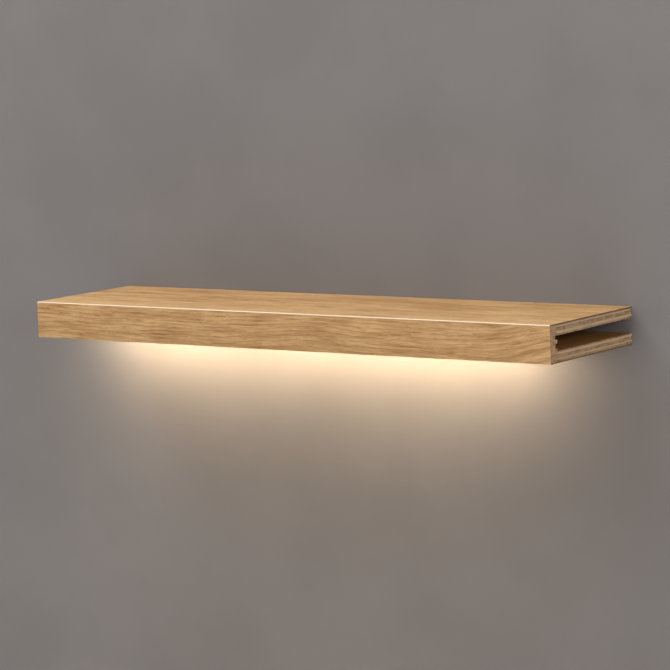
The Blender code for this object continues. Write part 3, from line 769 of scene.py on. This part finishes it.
def stamp(master, name, turn):
    """A copy of a master piece with its own mesh, turned and placed."""
    obj = bpy.data.objects.new(name, master.data.copy())
    bpy.context.scene.collection.objects.link(obj)
    obj.data.transform(turn)
    return obj


def joined(name, objects):
    """The objects joined into the first of them."""
    select_only(*objects)
    bpy.ops.object.join()
    objects[0].name = name
    return objects[0]


def hand_over(obj, slot, material, *nodes):
    """Give a finished piece its material, if one is named, hide the nodes it stands for, and attach it to
    the root body. The slot is not used.
    """
    if material:
        obj.data.materials.clear()
        obj.data.materials.append(material)
    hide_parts(*nodes)
    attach(obj, "root")


def saw_and_hand_over(obj, sizes, seed, slot, material, node, grain=X):
    """Finish a wooden piece with its sawn ends."""
    saw_ends(obj, sizes, seed, grain=grain)
    smooth(obj)
    hand_over(obj, slot, material, node)


def nodes_like(start):
    """The model's nodes whose names begin so, in order."""
    return sorted(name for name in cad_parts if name.startswith(start))


def middle(node):
    """The middle of a model node's box."""
    low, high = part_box(node)
    return (low + high) / 2


class ShelfPiece:
    """What the operators share: the sizes and colours that the scene holds."""

    bl_options = {"REGISTER", "UNDO"}

    def execute(self, context):
        scene = context.scene
        self.make(scene.shelf_sizes, scene.shelf_colours, scene.shelf_studio)
        return {"FINISHED"}


class SHELF_OT_boards(ShelfPiece, bpy.types.Operator):
    """Build the top and bottom boards from five plies each, with sawn ends"""

    bl_idname = "alcove_shelf.boards"
    bl_label = "Plywood boards"

    def make(self, sizes, colours, studio):
        for board, seed in (("top_board", 10), ("bottom_board", 20)):
            low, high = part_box(board)
            face, inward = (high.z, -1) if board == "top_board" else (low.z, 1)
            for number, (thickness, lengthwise) in enumerate(PLIES[board], 1):
                ends = sorted((face, face + inward * thickness))
                face += inward * thickness
                ply = solid_copy(board, f"{board}_ply_{number}")
                keep_between(ply, Z, ends[0] + sizes.glue_line / 2, ends[1] - sizes.glue_line / 2)
                saw_ends(ply, sizes, seed + number, sizes.chip_depth)
                if lengthwise:
                    wood = raw_wood_paint, colours.ply_floor, colours.ply_along
                else:
                    wood = cross_ply_paint, colours.ply_across
                hand_over(ply, "plywood", finish(ply.name, *wood, seed=seed + number), board)


class SHELF_OT_front_board(ShelfPiece, bpy.types.Operator):
    """Build the front board with its grooved and ridged inner face"""

    bl_idname = "alcove_shelf.front_board"
    bl_label = "Front board"

    def make(self, sizes, colours, studio):
        board = solid_copy("front_board", "front_board_profiled")
        ease_long_edges(board, sizes.board_easing, 2, shortest=0.5)
        material = finish(
            "front_board", raw_wood_paint, colours.front_side, colours.front_end, seed=30, cell=0.0016
        )
        saw_and_hand_over(board, sizes, 31, "solid_oak", material, "front_board")


class SHELF_OT_oak_faces(ShelfPiece, bpy.types.Operator):
    """Build the three oak faces, the top one with a pale painted highlight on its rounded arris"""

    bl_idname = "alcove_shelf.oak_faces"
    bl_label = "Oak faces"

    def make(self, sizes, colours, studio):
        self.top(sizes, colours)
        self.front(sizes, colours)
        self.under(sizes, colours)

    def top(self, sizes, colours):
        low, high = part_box("top_veneer")
        face = self.sheet("top_veneer_oak", low, high, high.z, sizes.arris_radius, 5)

        # Mask of the painted highlight on the rounded front edge.
        def arris(place):
            """Where the distance back from the front edge and down from the top add up to little."""
            reach = sizes.arris_radius
            away = (place.part(Y) - low.y) + (high.z - place.part(Z))
            return 1 - away.between(reach * 1.5, reach * 1.9)

        def ring(place):
            pith = ((low.y + high.y) * 0.42, high.z - 0.075)
            return rings(place, pith, tilt=0.030, spacing=0.0068, seed=42, sway=0.060, wobble=0.012)

        def sapwood(place):
            """Painted light: palest along the front edge, darker towards the wall."""
            return 1 - place.part(Y).between(low.y - 0.03, low.y + 0.16)

        material = finish(
            "oak_top", oak_paint, colours, 42, ring, self.waves(47), patch=(0.15, 0.036), ring_depth=0.50,
            streak=0.70, sapwood=sapwood, arris=arris,
        )
        saw_and_hand_over(face, sizes, 41, "oak_face", material, "top_veneer")

    def front(self, sizes, colours):
        low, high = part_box("front_veneer")
        face = self.sheet("front_veneer_oak", low, high, low.z, sizes.board_easing, 3)

        def ring(place):
            pith = (low.y + 0.06, low.z - 0.03)
            return rings(place, pith, tilt=0.008, spacing=0.0052, seed=44, sway=0.020, wobble=0.004)

        def flow(place):
            """Nearly level grain that turns up just before the right end."""
            wave = (drawn_out(place, (0.22, 0.2, 0.1), 48) - 0.5) * 0.022
            upturn = place.part(X).between(0.38, 0.53) * -0.022
            return moved(place, z=wave + upturn)

        material = finish(
            "oak_front", oak_paint, colours, 44, ring, flow, patch=(0.09, 0.011), ring_depth=0.74,
            cut=colours.front_end,
        )
        saw_and_hand_over(face, sizes, 43, "oak_face", material, "front_veneer")

    def under(self, sizes, colours):
        low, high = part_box("bottom_veneer")
        face = solid_copy("bottom_veneer", "bottom_veneer_oak")

        def ring(place):
            pith = ((low.y + high.y) * 0.6, low.z + 0.08)
            return rings(place, pith, tilt=-0.02, spacing=0.007, seed=46)

        material = finish(
            "oak_under", oak_paint, colours, 46, ring, self.waves(49), patch=(0.16, 0.03), ring_depth=0.5
        )
        saw_and_hand_over(face, sizes, 45, "oak_face", material, "bottom_veneer")

    @staticmethod
    def waves(seed):
        """Moves the place so that the fibres wander along Y in slow waves."""
        return lambda place: moved(place, y=(drawn_out(place, (0.4, 0.2, 0.2), seed) - 0.5) * 0.03)

    @staticmethod
    def sheet(name, low, high, level, radius, segments):
        """A sheet of oak whose front edge at this level is rounded."""
        def front_edge(edge):
            return all(abs(end.co.y - low.y) < SAME and abs(end.co.z - level) < SAME for end in edge.verts)
        face = block(name, low, high)
        bevel_edges(face, front_edge, radius, segments)
        return face


class SHELF_OT_dowels(ShelfPiece, bpy.types.Operator):
    """Build the fluted dowels that join the boards to the front board"""

    bl_idname = "alcove_shelf.dowels"
    bl_label = "Dowels"

    # How far apart the flutes are, and how wide, in degrees.
    FLUTE_STEP = 45
    FLUTE_WIDTH = 12

    def make(self, sizes, colours, studio):
        low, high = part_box("top_dowel_1")
        radius = (high.z - low.z) / 2
        length = high.y - low.y
        bpy.ops.object.select_all(action="DESELECT")
        turn = (math.pi / 2, 0, 0)
        bpy.ops.mesh.primitive_cylinder_add(vertices=32, radius=radius, depth=length, rotation=turn)
        master = settle("dowel_master")
        bevel_edges(master, lambda edge: run(edge, Y) < SAME, radius / 4, 3)

        def fluted(face):
            centre = face.calc_center_median()
            step = math.degrees(math.atan2(centre.z, centre.x)) % self.FLUTE_STEP
            long = abs(face.normal.y) < SAME and face.calc_area() > radius * length / 20
            return long and step < self.FLUTE_WIDTH

        with edit_mode(master):
            pick(master, "faces", fluted)
            bpy.ops.mesh.extrude_region_shrink_fatten(
                TRANSFORM_OT_shrink_fatten={"value": -sizes.flute_depth}
            )
        smooth(master)
        material = finish("beech", beech_paint, colours)
        for node in nodes_like("top_dowel") + nodes_like("bottom_dowel"):
            dowel = stamp(master, node + "_fluted", Matrix.Translation(middle(node)))
            hand_over(dowel, "beech", material, node)
        bpy.data.objects.remove(master)


class SHELF_OT_bracket(ShelfPiece, bpy.types.Operator):
    """Build the wall batten and the arms that carry the shelf"""

    bl_idname = "alcove_shelf.bracket"
    bl_label = "Batten and arms"

    def make(self, sizes, colours, studio):
        wood = finish("pine_batten", pine_paint, colours, 52)
        self.bearer("wall_batten", sizes, 51, X, wood)
        for number, node in enumerate(nodes_like("support_arm"), 1):
            wood = finish(node + "_pine", pine_paint, colours, 52 + 3 * number, Y)
            self.bearer(node, sizes, 55 + number, Y, wood)

    @staticmethod
    def bearer(node, sizes, seed, grain, wood):
        """A batten or an arm, its long edges rounded and its ends sawn."""
        piece = solid_copy(node, node + "_pine")
        ease_long_edges(piece, sizes.bearer_easing, 3)
        saw_and_hand_over(piece, sizes, seed, "pine", wood, node, grain)


class SHELF_OT_screws(ShelfPiece, bpy.types.Operator):
    """Build the cross-head screws: arms, sleeve, clips and saddle"""

    bl_idname = "alcove_shelf.screws"
    bl_label = "Screws"

    # Each kind of screw: its axis and turn, its shank's radius, its thread's pitch, and the share of its
    # length that is threaded.
    KINDS = {
        "arm_screw": (Y, HEAD_TO_WALL, 0.0025, 0.0025, 0.62),
        "sleeve_screw": (Z, HEAD_DOWN, 0.0020, 0.0018, 0.80),
        "clip_screw": (Z, HEAD_DOWN, 0.0013, 0.0011, 0.85),
        "saddle_screw": (Z, HEAD_UP, 0.0014, 0.0012, 0.70),
    }

    # The saddle screws' domed head: its height by its radius, and its curve as shares of both.
    DOME = 2 / 3
    DOME_CURVE = ((0.45, 0.04), (0.75, 0.22), (0.95, 0.55), (1, 0.85), (1, 1))

    # The cross recess, by the head's radius: half of each arm's length and width, its depth, and how far its
    # cutter stands above the head. The last is how it narrows towards its floor.
    RECESS = (0.56, 0.13, 0.75, 0.1)
    RECESS_TAPER = (0.45, 0.7, 1)

    # A thread has this many rows of corners in each turn, its ridge reaches this share of the pitch to each
    # side of its crest, and this share of the radius is left at the screw's point.
    ROWS_PER_TURN = 7
    RIDGE = 0.34
    POINT = 0.08

    def make(self, sizes, colours, studio):
        material = finish("zinc", zinc_paint, colours)
        for kind, (axis, turn, shank, pitch, threaded) in self.KINDS.items():
            nodes = nodes_like(kind)
            low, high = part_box(nodes[0])
            head, length = (high - low).x / 2, (high - low)[axis]
            core = shank * (1 - sizes.thread_depth)
            master = self.screw(kind, head, length, shank, core, pitch, threaded)
            self.cut_recess(master, head)
            smooth(master)
            for node in nodes:
                low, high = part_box(node)
                place = middle(node)
                place[axis] = low[axis] if turn is HEAD_DOWN else high[axis]
                copy = stamp(master, node + "_threaded", Matrix.Translation(place) @ turn)
                hand_over(copy, "zinc_steel", material, node)
            bpy.data.objects.remove(master)

    def screw(self, kind, head, length, shank, core, pitch, threaded):
        """A screw made head up along Z, its top at the origin. Its thread is wound round the core."""
        if kind == "saddle_screw":
            dome = head * self.DOME
            profile = [(0, 0)] + [(head * out, -dome * down) for out, down in self.DOME_CURVE]
            profile.append((shank * 0.98, -dome))
        else:
            rim = head / 12
            profile = [(0, 0), (head - rim / 3, 0), (head, -rim / 4), (head, -rim / 2)]
            profile.append((shank, -rim / 2 - (head - shank)))
        neck = profile[-1][1]
        thread_top = min(-length + length * threaded, neck - pitch / 4)
        profile.append((core, thread_top + pitch / 8))
        rows = math.ceil((thread_top + length) / pitch * self.ROWS_PER_TURN)
        profile += [(core, level) for level in spread(thread_top, -length + shank / 12, rows)]
        profile.append((0, -length))
        obj = turned(kind + "_master", profile, steps=20)
        for vertex in obj.data.vertices:
            place = vertex.co
            if place.z > thread_top + SAME or place.z <= -length + SAME:
                continue
            wound = (place.z / pitch - math.atan2(place.y, place.x) / math.tau) % 1.0
            ridge = max(0.0, 1 - abs(wound - 0.5) / self.RIDGE)
            ridge *= min(1.0, (thread_top - place.z) / pitch)
            taper = min(1.0, self.POINT + (1 - self.POINT) * (place.z + length) / (2 * shank))
            radius = (core + (shank - core) * ridge) * taper
            place.x, place.y = Vector((place.x, place.y)).normalized() * radius
        return obj

    def cut_recess(self, obj, head):
        """Cut the cross out of a screw's head."""
        reach, width, depth, above = (head * share for share in self.RECESS)
        for turn in (0, math.pi / 2):
            arm = block("recess", (-reach, -width, -depth), (reach, width, above))
            with edit_mode(arm):
                pick(arm, "faces", looks_down)
                bpy.ops.transform.resize(value=self.RECESS_TAPER)
            arm.data.transform(Matrix.Rotation(turn, 4, "Z"))
            apply_modifier(obj, "BOOLEAN", object=arm, operation="DIFFERENCE", solver="EXACT")
            bpy.data.objects.remove(arm)


class SHELF_OT_channel(ShelfPiece, bpy.types.Operator):
    """Build the aluminium channel, its end caps and the clips that hold it"""

    bl_idname = "alcove_shelf.channel"
    bl_label = "Light channel"

    # How long the metals' fine lines are along X, Y and Z.
    EXTRUDED = (0.3, 0.0002, 0.0002)
    ROLLED = (0.0003, 0.02, 0.02)

    def make(self, sizes, colours, studio):
        aluminium = finish(
            "anodised_aluminium", drawn_metal_paint, colours.aluminium, self.EXTRUDED, 61, 0.28
        )
        plastic = finish("grey_plastic", plastic_paint, colours.grey_plastic, 63, 0.45)
        steel = finish("spring_steel", drawn_metal_paint, colours.spring_steel, self.ROLLED, 65, 0.22)
        for start, suffix, slot, material in (
            ("led_channel", "_extruded", "aluminium", aluminium),
            ("channel_end_cap", "_moulded", "grey_plastic", plastic),
            ("channel_clip", "_pressed", "spring_steel", steel),
            ("socket_saddle", "_pressed", "spring_steel", steel),
        ):
            for node in nodes_like(start):
                piece = eased_copy(node, node + suffix, sizes.metal_easing)
                hand_over(piece, slot, material, node)


class SHELF_OT_light(ShelfPiece, bpy.types.Operator):
    """Build the diffuser, the strip with its chips, and the strip's connector"""

    bl_idname = "alcove_shelf.light"
    bl_label = "Light strip and diffuser"

    # The strip: chips at a steady pitch, and after every third a resistor beside two pairs of pads. The pads
    # of a pair stand apart by this share of their length to each side.
    BOARD_THICKNESS = 0.0003
    CHIP_PITCH = 1 / 60
    CHIPS_PER_SECTION = 3
    CHIP = (0.0035, 0.0028)
    CHIP_ROUNDING = 0.0003
    WINDOW_BORDER, WINDOW_DEPTH = 0.0005, 0.00015
    PAD = (0.0022, 0.0016, 0.00005)
    PAD_OFFSET = 0.003
    PAD_SHARE = 0.6
    RESISTOR = (0.0020, 0.00125, 0.0005)
    RESISTOR_OFFSET = 0.0028

    # The connector's lid: a border and a depth for its sunk face, and for the raised middle of that.
    LID_STEPS = ((0.0009, 0.0004), (0.0007, -0.0003))

    def make(self, sizes, colours, studio):
        low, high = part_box("led_strip")
        count = int((high.x - low.x) / self.CHIP_PITCH)
        first = (low.x + high.x - (count - 1) * self.CHIP_PITCH) / 2
        diffuser = eased_copy("led_diffuser", "led_diffuser_opal", sizes.metal_easing)
        material = finish("opal", opal_paint, colours, studio.diffuser_level, self.CHIP_PITCH, first)
        hand_over(diffuser, "opal_plastic", material, "led_diffuser")

        middle_y = (low.y + high.y) / 2
        under = high.z - self.BOARD_THICKNESS
        places = [Vector((first + number * self.CHIP_PITCH, middle_y, under)) for number in range(count)]
        self.board(colours, low, high, places)
        self.chips(colours, places, under - low.z)
        self.connector(sizes, colours)

    def board(self, colours, low, high, places):
        """The flexible board with its pads and resistors."""
        board = block("led_strip_board", (low.x, low.y, places[0].z), high)
        bevel_edges(board, lambda edge: run(edge, Z) > SAME, self.BOARD_THICKNESS, 2)
        board.data.materials.append(finish("circuit", plastic_paint, colours.circuit, 71, 0.35))
        fittings = [board]
        copper = finish("copper", copper_paint, colours)
        black = finish("resistor", plastic_paint, colours.black_plastic, 73, 0.3)
        for place in places[:-1:self.CHIPS_PER_SECTION]:
            joint = place + Vector((self.CHIP_PITCH / 2, 0, 0))
            for side in (-1, 1):
                for end in (-1, 1):
                    apart = end * self.PAD[0] * self.PAD_SHARE
                    centre = joint + Vector((apart, side * self.PAD_OFFSET, 0))
                    fittings.append(self.fitting("pad", centre, self.PAD, copper))
            centre = joint + Vector((self.CHIP_PITCH / 3, self.RESISTOR_OFFSET, 0))
            fittings.append(self.fitting("resistor", centre, self.RESISTOR, black))
        board = joined("led_strip_board", fittings)
        hand_over(board, "light_strip", None, "led_strip")

    def chips(self, colours, places, height):
        """The light chips, each with a lit window sunk in its underside."""
        half = Vector((*self.CHIP, 0)) / 2
        master = block("chip", (-half.x, -half.y, -height), half)
        bevel_edges(master, lambda edge: run(edge, Z) > SAME, self.CHIP_ROUNDING, 2)
        with edit_mode(master):
            pick(master, "faces", looks_down)
            sink(self.WINDOW_BORDER, self.WINDOW_DEPTH)
        master.data.materials.append(finish("chip_body", plastic_paint, colours.circuit, 74, 0.3))
        master.data.materials.append(finish("phosphor", phosphor_paint, colours))
        window = max(filter(looks_down, master.data.polygons), key=lambda face: face.center.z)
        window.material_index = 1
        chips = joined("led_strip_chips", [stamp(master, "chip", Matrix.Translation(at)) for at in places])
        bpy.data.objects.remove(master)
        hand_over(chips, "light_strip", None, "led_strip")

    @staticmethod
    def fitting(name, centre, extent, material):
        """A small part that hangs from the strip's underside."""
        half = Vector((extent[0], extent[1], 0)) / 2
        obj = block(name, centre - half - Vector((0, 0, extent[2])), centre + half)
        bevel_edges(obj, lambda edge: run(edge, Z) > SAME, extent[1] / 6, 2)
        obj.data.materials.append(material)
        return obj

    def connector(self, sizes, colours):
        """The clip-on connector, its lid sunk with a raised middle."""
        body = block("strip_connector_clip", *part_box("strip_connector"))
        ease(body, sizes.plastic_easing, 3)
        with edit_mode(body):
            pick(body, "faces", looks_down)
            for border, depth in self.LID_STEPS:
                sink(border, depth)
        smooth(body)
        material = finish("white_plastic", plastic_paint, colours.white_plastic, 76, 0.35)
        hand_over(body, "white_plastic", material, "strip_connector")


class SHELF_OT_feed(ShelfPiece, bpy.types.Operator):
    """Build the wires, their grommet and the supply socket"""

    bl_idname = "alcove_shelf.feed"
    bl_label = "Wires and socket"

    # What rounding a wire takes off its radius, and the angle between its side and its flat ends.
    WIRE_ROUNDING = 0.00009
    WIRE_END = math.radians(70)

    def make(self, sizes, colours, studio):
        red = finish("red_insulation", plastic_paint, colours.red_insulation, 81, 0.35)
        black = finish("black_insulation", plastic_paint, colours.black_plastic, 82, 0.4)
        for node, slot, material in (
            ("led_wire_positive", "red_insulation", red),
            ("led_wire_negative", "black_plastic", black),
        ):
            wire = solid_copy(node, node + "_insulated")
            self.round_off(wire)
            hand_over(wire, slot, material, node)
        self.grommet(colours)
        self.socket(colours)

    def round_off(self, wire):
        """Double the sides of a wire. It is thickened first by what the rounding takes off."""
        with edit_mode(wire):
            bpy.ops.mesh.select_all(action="SELECT")
            bpy.ops.mesh.tris_convert_to_quads()
            bpy.ops.transform.shrink_fatten(value=self.WIRE_ROUNDING)
            pick(wire, "edges", lambda edge: edge.calc_face_angle() > self.WIRE_END)
            bpy.ops.transform.edge_crease(value=1)
        apply_modifier(wire, "SUBSURF", levels=1, render_levels=1)
        smooth(wire, math.radians(60))

    @staticmethod
    def grommet(colours):
        """A rubber bush with a rounded flange over the cavity's floor and a bead below."""
        low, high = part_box("lead_grommet")
        # Radius of the bore and the body, thickness of the flange, and the step that its lips are drawn in.
        bore, body, flange, lip = 0.0024, 0.0037, 0.001, 0.0001
        rim = (high.x - low.x) / 2
        top, base = high.z, low.z
        under = top - flange
        waist = body - 2 * lip
        profile = [(bore + 3 * lip, base), (bore, base + 3 * lip), (bore, top - 5 * lip)]
        profile += [(bore + 4 * lip, top), (rim - 5 * lip, top), (rim - lip, top - 3 * lip)]
        profile += [(rim, top - 6 * lip), (rim, under + lip), (rim - lip, under), (body, under)]
        profile.append((waist, under - 4 * lip))
        profile += [(waist, base + 12 * lip), (body, base + 8 * lip), (body - 3 * lip, base)]
        profile.append(profile[0])
        grommet = turned("lead_grommet_moulded", profile, steps=32)
        centre = middle("lead_grommet")
        grommet.data.transform(Matrix.Translation((centre.x, centre.y, 0)))
        smooth(grommet, math.radians(50))
        material = finish("black_rubber", plastic_paint, colours.black_rubber, 83, 0.7, 0.0003)
        hand_over(grommet, "black_rubber", material, "lead_grommet")

    @staticmethod
    def socket(colours):
        """The round supply socket, open to the wall, with grip rings and a tapered neck."""
        low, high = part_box("power_socket")
        radius = (high.x - low.x) / 2
        length = high.y - low.y
        edge = radius / 12
        neck = length / 6
        # Radius and depth of the bore, and radius of the pin and of the cable's end.
        bore, depth, pin, end = 0.0028, 0.010, 0.00105, 0.0029
        # The grip rings: how many, where they start, how far apart they are and how deep they are cut.
        count, start, pitch, dip = 4, 0.0045, 0.0016, 0.0004
        profile = [(0, -edge * 0.6), (pin * 0.7, -edge * 0.7), (pin, -edge * 2), (pin, -depth)]
        profile += [(bore, -depth), (bore, -edge), (bore + edge, 0), (radius - edge, 0), (radius, -edge)]
        for number in range(count):
            level = -start - number * pitch
            profile += [(radius, level), (radius - dip, level - dip / 2)]
            profile += [(radius - dip, level - dip * 1.5), (radius, level - dip * 2)]
        profile += [(radius, neck - length), (radius * 0.9, neck - length - 1.5 * dip)]
        profile += [(radius * 0.62, neck * 0.35 - length), (end, dip - length)]
        profile += [(end - dip, -length), (0, -length)]
        socket = turned("power_socket_moulded", profile, steps=40)
        centre = middle("power_socket")
        socket.data.transform(Matrix.Translation((centre.x, high.y, centre.z)) @ HEAD_TO_WALL)
        smooth(socket, math.radians(40))
        material = finish("black_plastic", plastic_paint, colours.black_plastic, 84, 0.42)
        hand_over(socket, "black_plastic", material, "power_socket")


class SHELF_OT_stage(ShelfPiece, bpy.types.Operator):
    """Set up the wall, the floor, the light and the camera"""

    bl_idname = "alcove_shelf.stage"
    bl_label = "Wall, floor, light and camera"

    # The wall stands just behind the batten, and is this much as high as it is wide.
    WALL_GAP = 0.0005
    WALL_SHAPE = 0.75

    # How far below the diffuser the strip's two lamps hang. They differ, or the nearer would hide the other.
    LIGHT_DROP = 0.0005
    SPILL_DROP = 0.0010

    # How far the light stops short of the strip's right end.
    LIGHT_SHORT = 0.01

    def make(self, sizes, colours, studio):
        half = studio.wall_half
        tall = half * self.WALL_SHAPE
        place = (0, self.WALL_GAP, tall - studio.floor_drop)
        wall = self.plaster("wall_plaster", studio.wall, 90)
        self.sheet("wall_backdrop", place, (math.pi / 2, 0, 0), (half, tall), wall)
        floor = self.plaster("pale_floor", studio.floor, 92)
        self.sheet("floor", (0, 0, -studio.floor_drop), (0, 0, 0), (half * 2, half * 2), floor)
        for name, (place, aim, extent, power, shade) in LAMPS.items():
            lamp = self.lamp(name, "DISK", (extent, extent), place, power, shade)
            lamp.rotation_euler = (Vector(aim) - Vector(place)).to_track_quat("-Z", "Y").to_euler()
        self.glow(studio)
        self.surroundings(studio)
        self.camera()

    @staticmethod
    def sheet(name, place, turn, halves, material):
        """A flat sheet of the stage, from its middle, its turn and half its width and height."""
        bpy.ops.object.select_all(action="DESELECT")
        bpy.ops.mesh.primitive_plane_add(size=2, location=place, rotation=turn)
        bpy.context.active_object.scale = (*halves, 1)
        obj = settle(name)
        obj.data.materials.append(material)

    @staticmethod
    def plaster(name, shade, seed):
        """Plaster that is seen, and keeps the light out, from its front alone."""
        shade = Vector(shade)

        def paint(place):
            cloud = speckle(place, 0.22, seed, 4.0).between(0.35, 0.65)
            return {
                "Base Color": cloud.blend(shade * 0.96, shade * 1.04),
                "Roughness": 0.9,
                "Normal": speckle(place, 0.01, seed + 1, 3.0).bump(0.0003, 0.4),
            }

        material = finish(name, paint)
        tree = material.node_tree
        start = Signal(tree)
        behind = start.node("NewGeometry", output="Backfacing")
        passed = start.node("LightPath", output="Transparent Depth")
        solid = (1 - behind) * (1 - passed.math("GREATER_THAN", 0.5))
        shader = tree.nodes["Principled BSDF"]
        clear = start.node("BsdfTransparent")
        mixed = start.node("MixShader", {}, {0: solid, 1: clear, 2: Signal(tree, shader.outputs[0])})
        tree.links.new(mixed.socket, tree.nodes["Material Output"].inputs["Surface"])
        return material

    @staticmethod
    def lamp(name, shape, extents, place, power, shade):
        """An area lamp that faces down."""
        data = bpy.data.lights.new(name, "AREA")
        data.shape = shape
        data.size, data.size_y = extents
        data.energy = power
        data.color = shade
        obj = bpy.data.objects.new(name, data)
        obj.location = place
        bpy.context.scene.collection.objects.link(obj)
        return obj

    def glow(self, studio):
        """The light that leaves the diffuser, as two lamps just below it that the camera doesn't see.

        Most of it comes from the strip's length. The rest spills past both ends, and softens them.
        """
        low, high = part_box("led_strip")
        left, right = low.x - studio.glow_reach, high.x - self.LIGHT_SHORT
        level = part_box("led_diffuser")[0].z
        for name, reach, drop, share in (
            ("strip_light", 0.0, self.LIGHT_DROP, 1 - studio.spill),
            ("strip_spill", studio.spill_reach, self.SPILL_DROP, studio.spill),
        ):
            extents = (right - left + 2 * reach, studio.glow_width)
            place = ((left + right) / 2, (low.y + high.y) / 2, level - drop)
            lamp = self.lamp(name, "RECTANGLE", extents, place, studio.glow * share, studio.glow_warm)
            lamp.visible_camera = False

    @staticmethod
    def surroundings(studio):
        """The even light from all round."""
        world = bpy.data.worlds.new("surroundings")
        bpy.context.scene.world = world
        world.use_nodes = True
        background = world.node_tree.nodes["Background"]
        background.inputs["Color"].default_value = (*studio.air, 1)
        background.inputs["Strength"].default_value = studio.air_level

    @staticmethod
    def camera():
        """The camera, which looks at its target from the photograph's side."""
        data = bpy.data.cameras.new("camera")
        data.lens = CAMERA_LENS
        data.clip_end = CAMERA_REACH
        obj = bpy.data.objects.new("camera", data)
        bpy.context.scene.collection.objects.link(obj)
        turn = Matrix.Rotation(CAMERA_YAW, 4, "Z") @ Matrix.Rotation(math.pi / 2 - CAMERA_PITCH, 4, "X")
        turn = turn @ Matrix.Rotation(CAMERA_ROLL, 4, "Z")
        away = turn @ Vector((0, 0, CAMERA_DISTANCE))
        obj.matrix_world = Matrix.Translation(CAMERA_TARGET + away) @ turn
        bpy.context.scene.camera = obj


OPERATORS = (
    SHELF_OT_boards,
    SHELF_OT_front_board,
    SHELF_OT_oak_faces,
    SHELF_OT_dowels,
    SHELF_OT_bracket,
    SHELF_OT_screws,
    SHELF_OT_channel,
    SHELF_OT_light,
    SHELF_OT_feed,
    SHELF_OT_stage,
)
SETTINGS = {"shelf_sizes": ShelfSizes, "shelf_colours": ShelfColours, "shelf_studio": StudioLook}


class SHELF_PT_panel(bpy.types.Panel):
    """Lists what can be built, in the order of building"""

    bl_label = "Alcove shelf"
    bl_idname = "SHELF_PT_panel"
    bl_space_type = "VIEW_3D"
    bl_region_type = "UI"
    bl_category = "Alcove shelf"

    def draw(self, context):
        column = self.layout.column(align=True)
        for operator in OPERATORS:
            column.operator(operator.bl_idname)
        for name in SETTINGS:
            box = self.layout.box()
            settings = getattr(context.scene, name)
            for key in settings.__annotations__:
                box.prop(settings, key)


def register():
    for name, settings in SETTINGS.items():
        bpy.utils.register_class(settings)
        setattr(bpy.types.Scene, name, PointerProperty(type=settings))
    for cls in (*OPERATORS, SHELF_PT_panel):
        bpy.utils.register_class(cls)


def unregister():
    for cls in reversed((*OPERATORS, SHELF_PT_panel)):
        bpy.utils.unregister_class(cls)
    for name, settings in SETTINGS.items():
        delattr(bpy.types.Scene, name)
        bpy.utils.unregister_class(settings)


def main():
    """Build the whole shelf."""
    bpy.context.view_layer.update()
    register()
    view = bpy.context.scene.view_settings
    view.view_transform = "Standard"
    for operator in OPERATORS:
        family, name = operator.bl_idname.split(".")
        getattr(getattr(bpy.ops, family), name)()


if __name__ == "__main__":
    main()
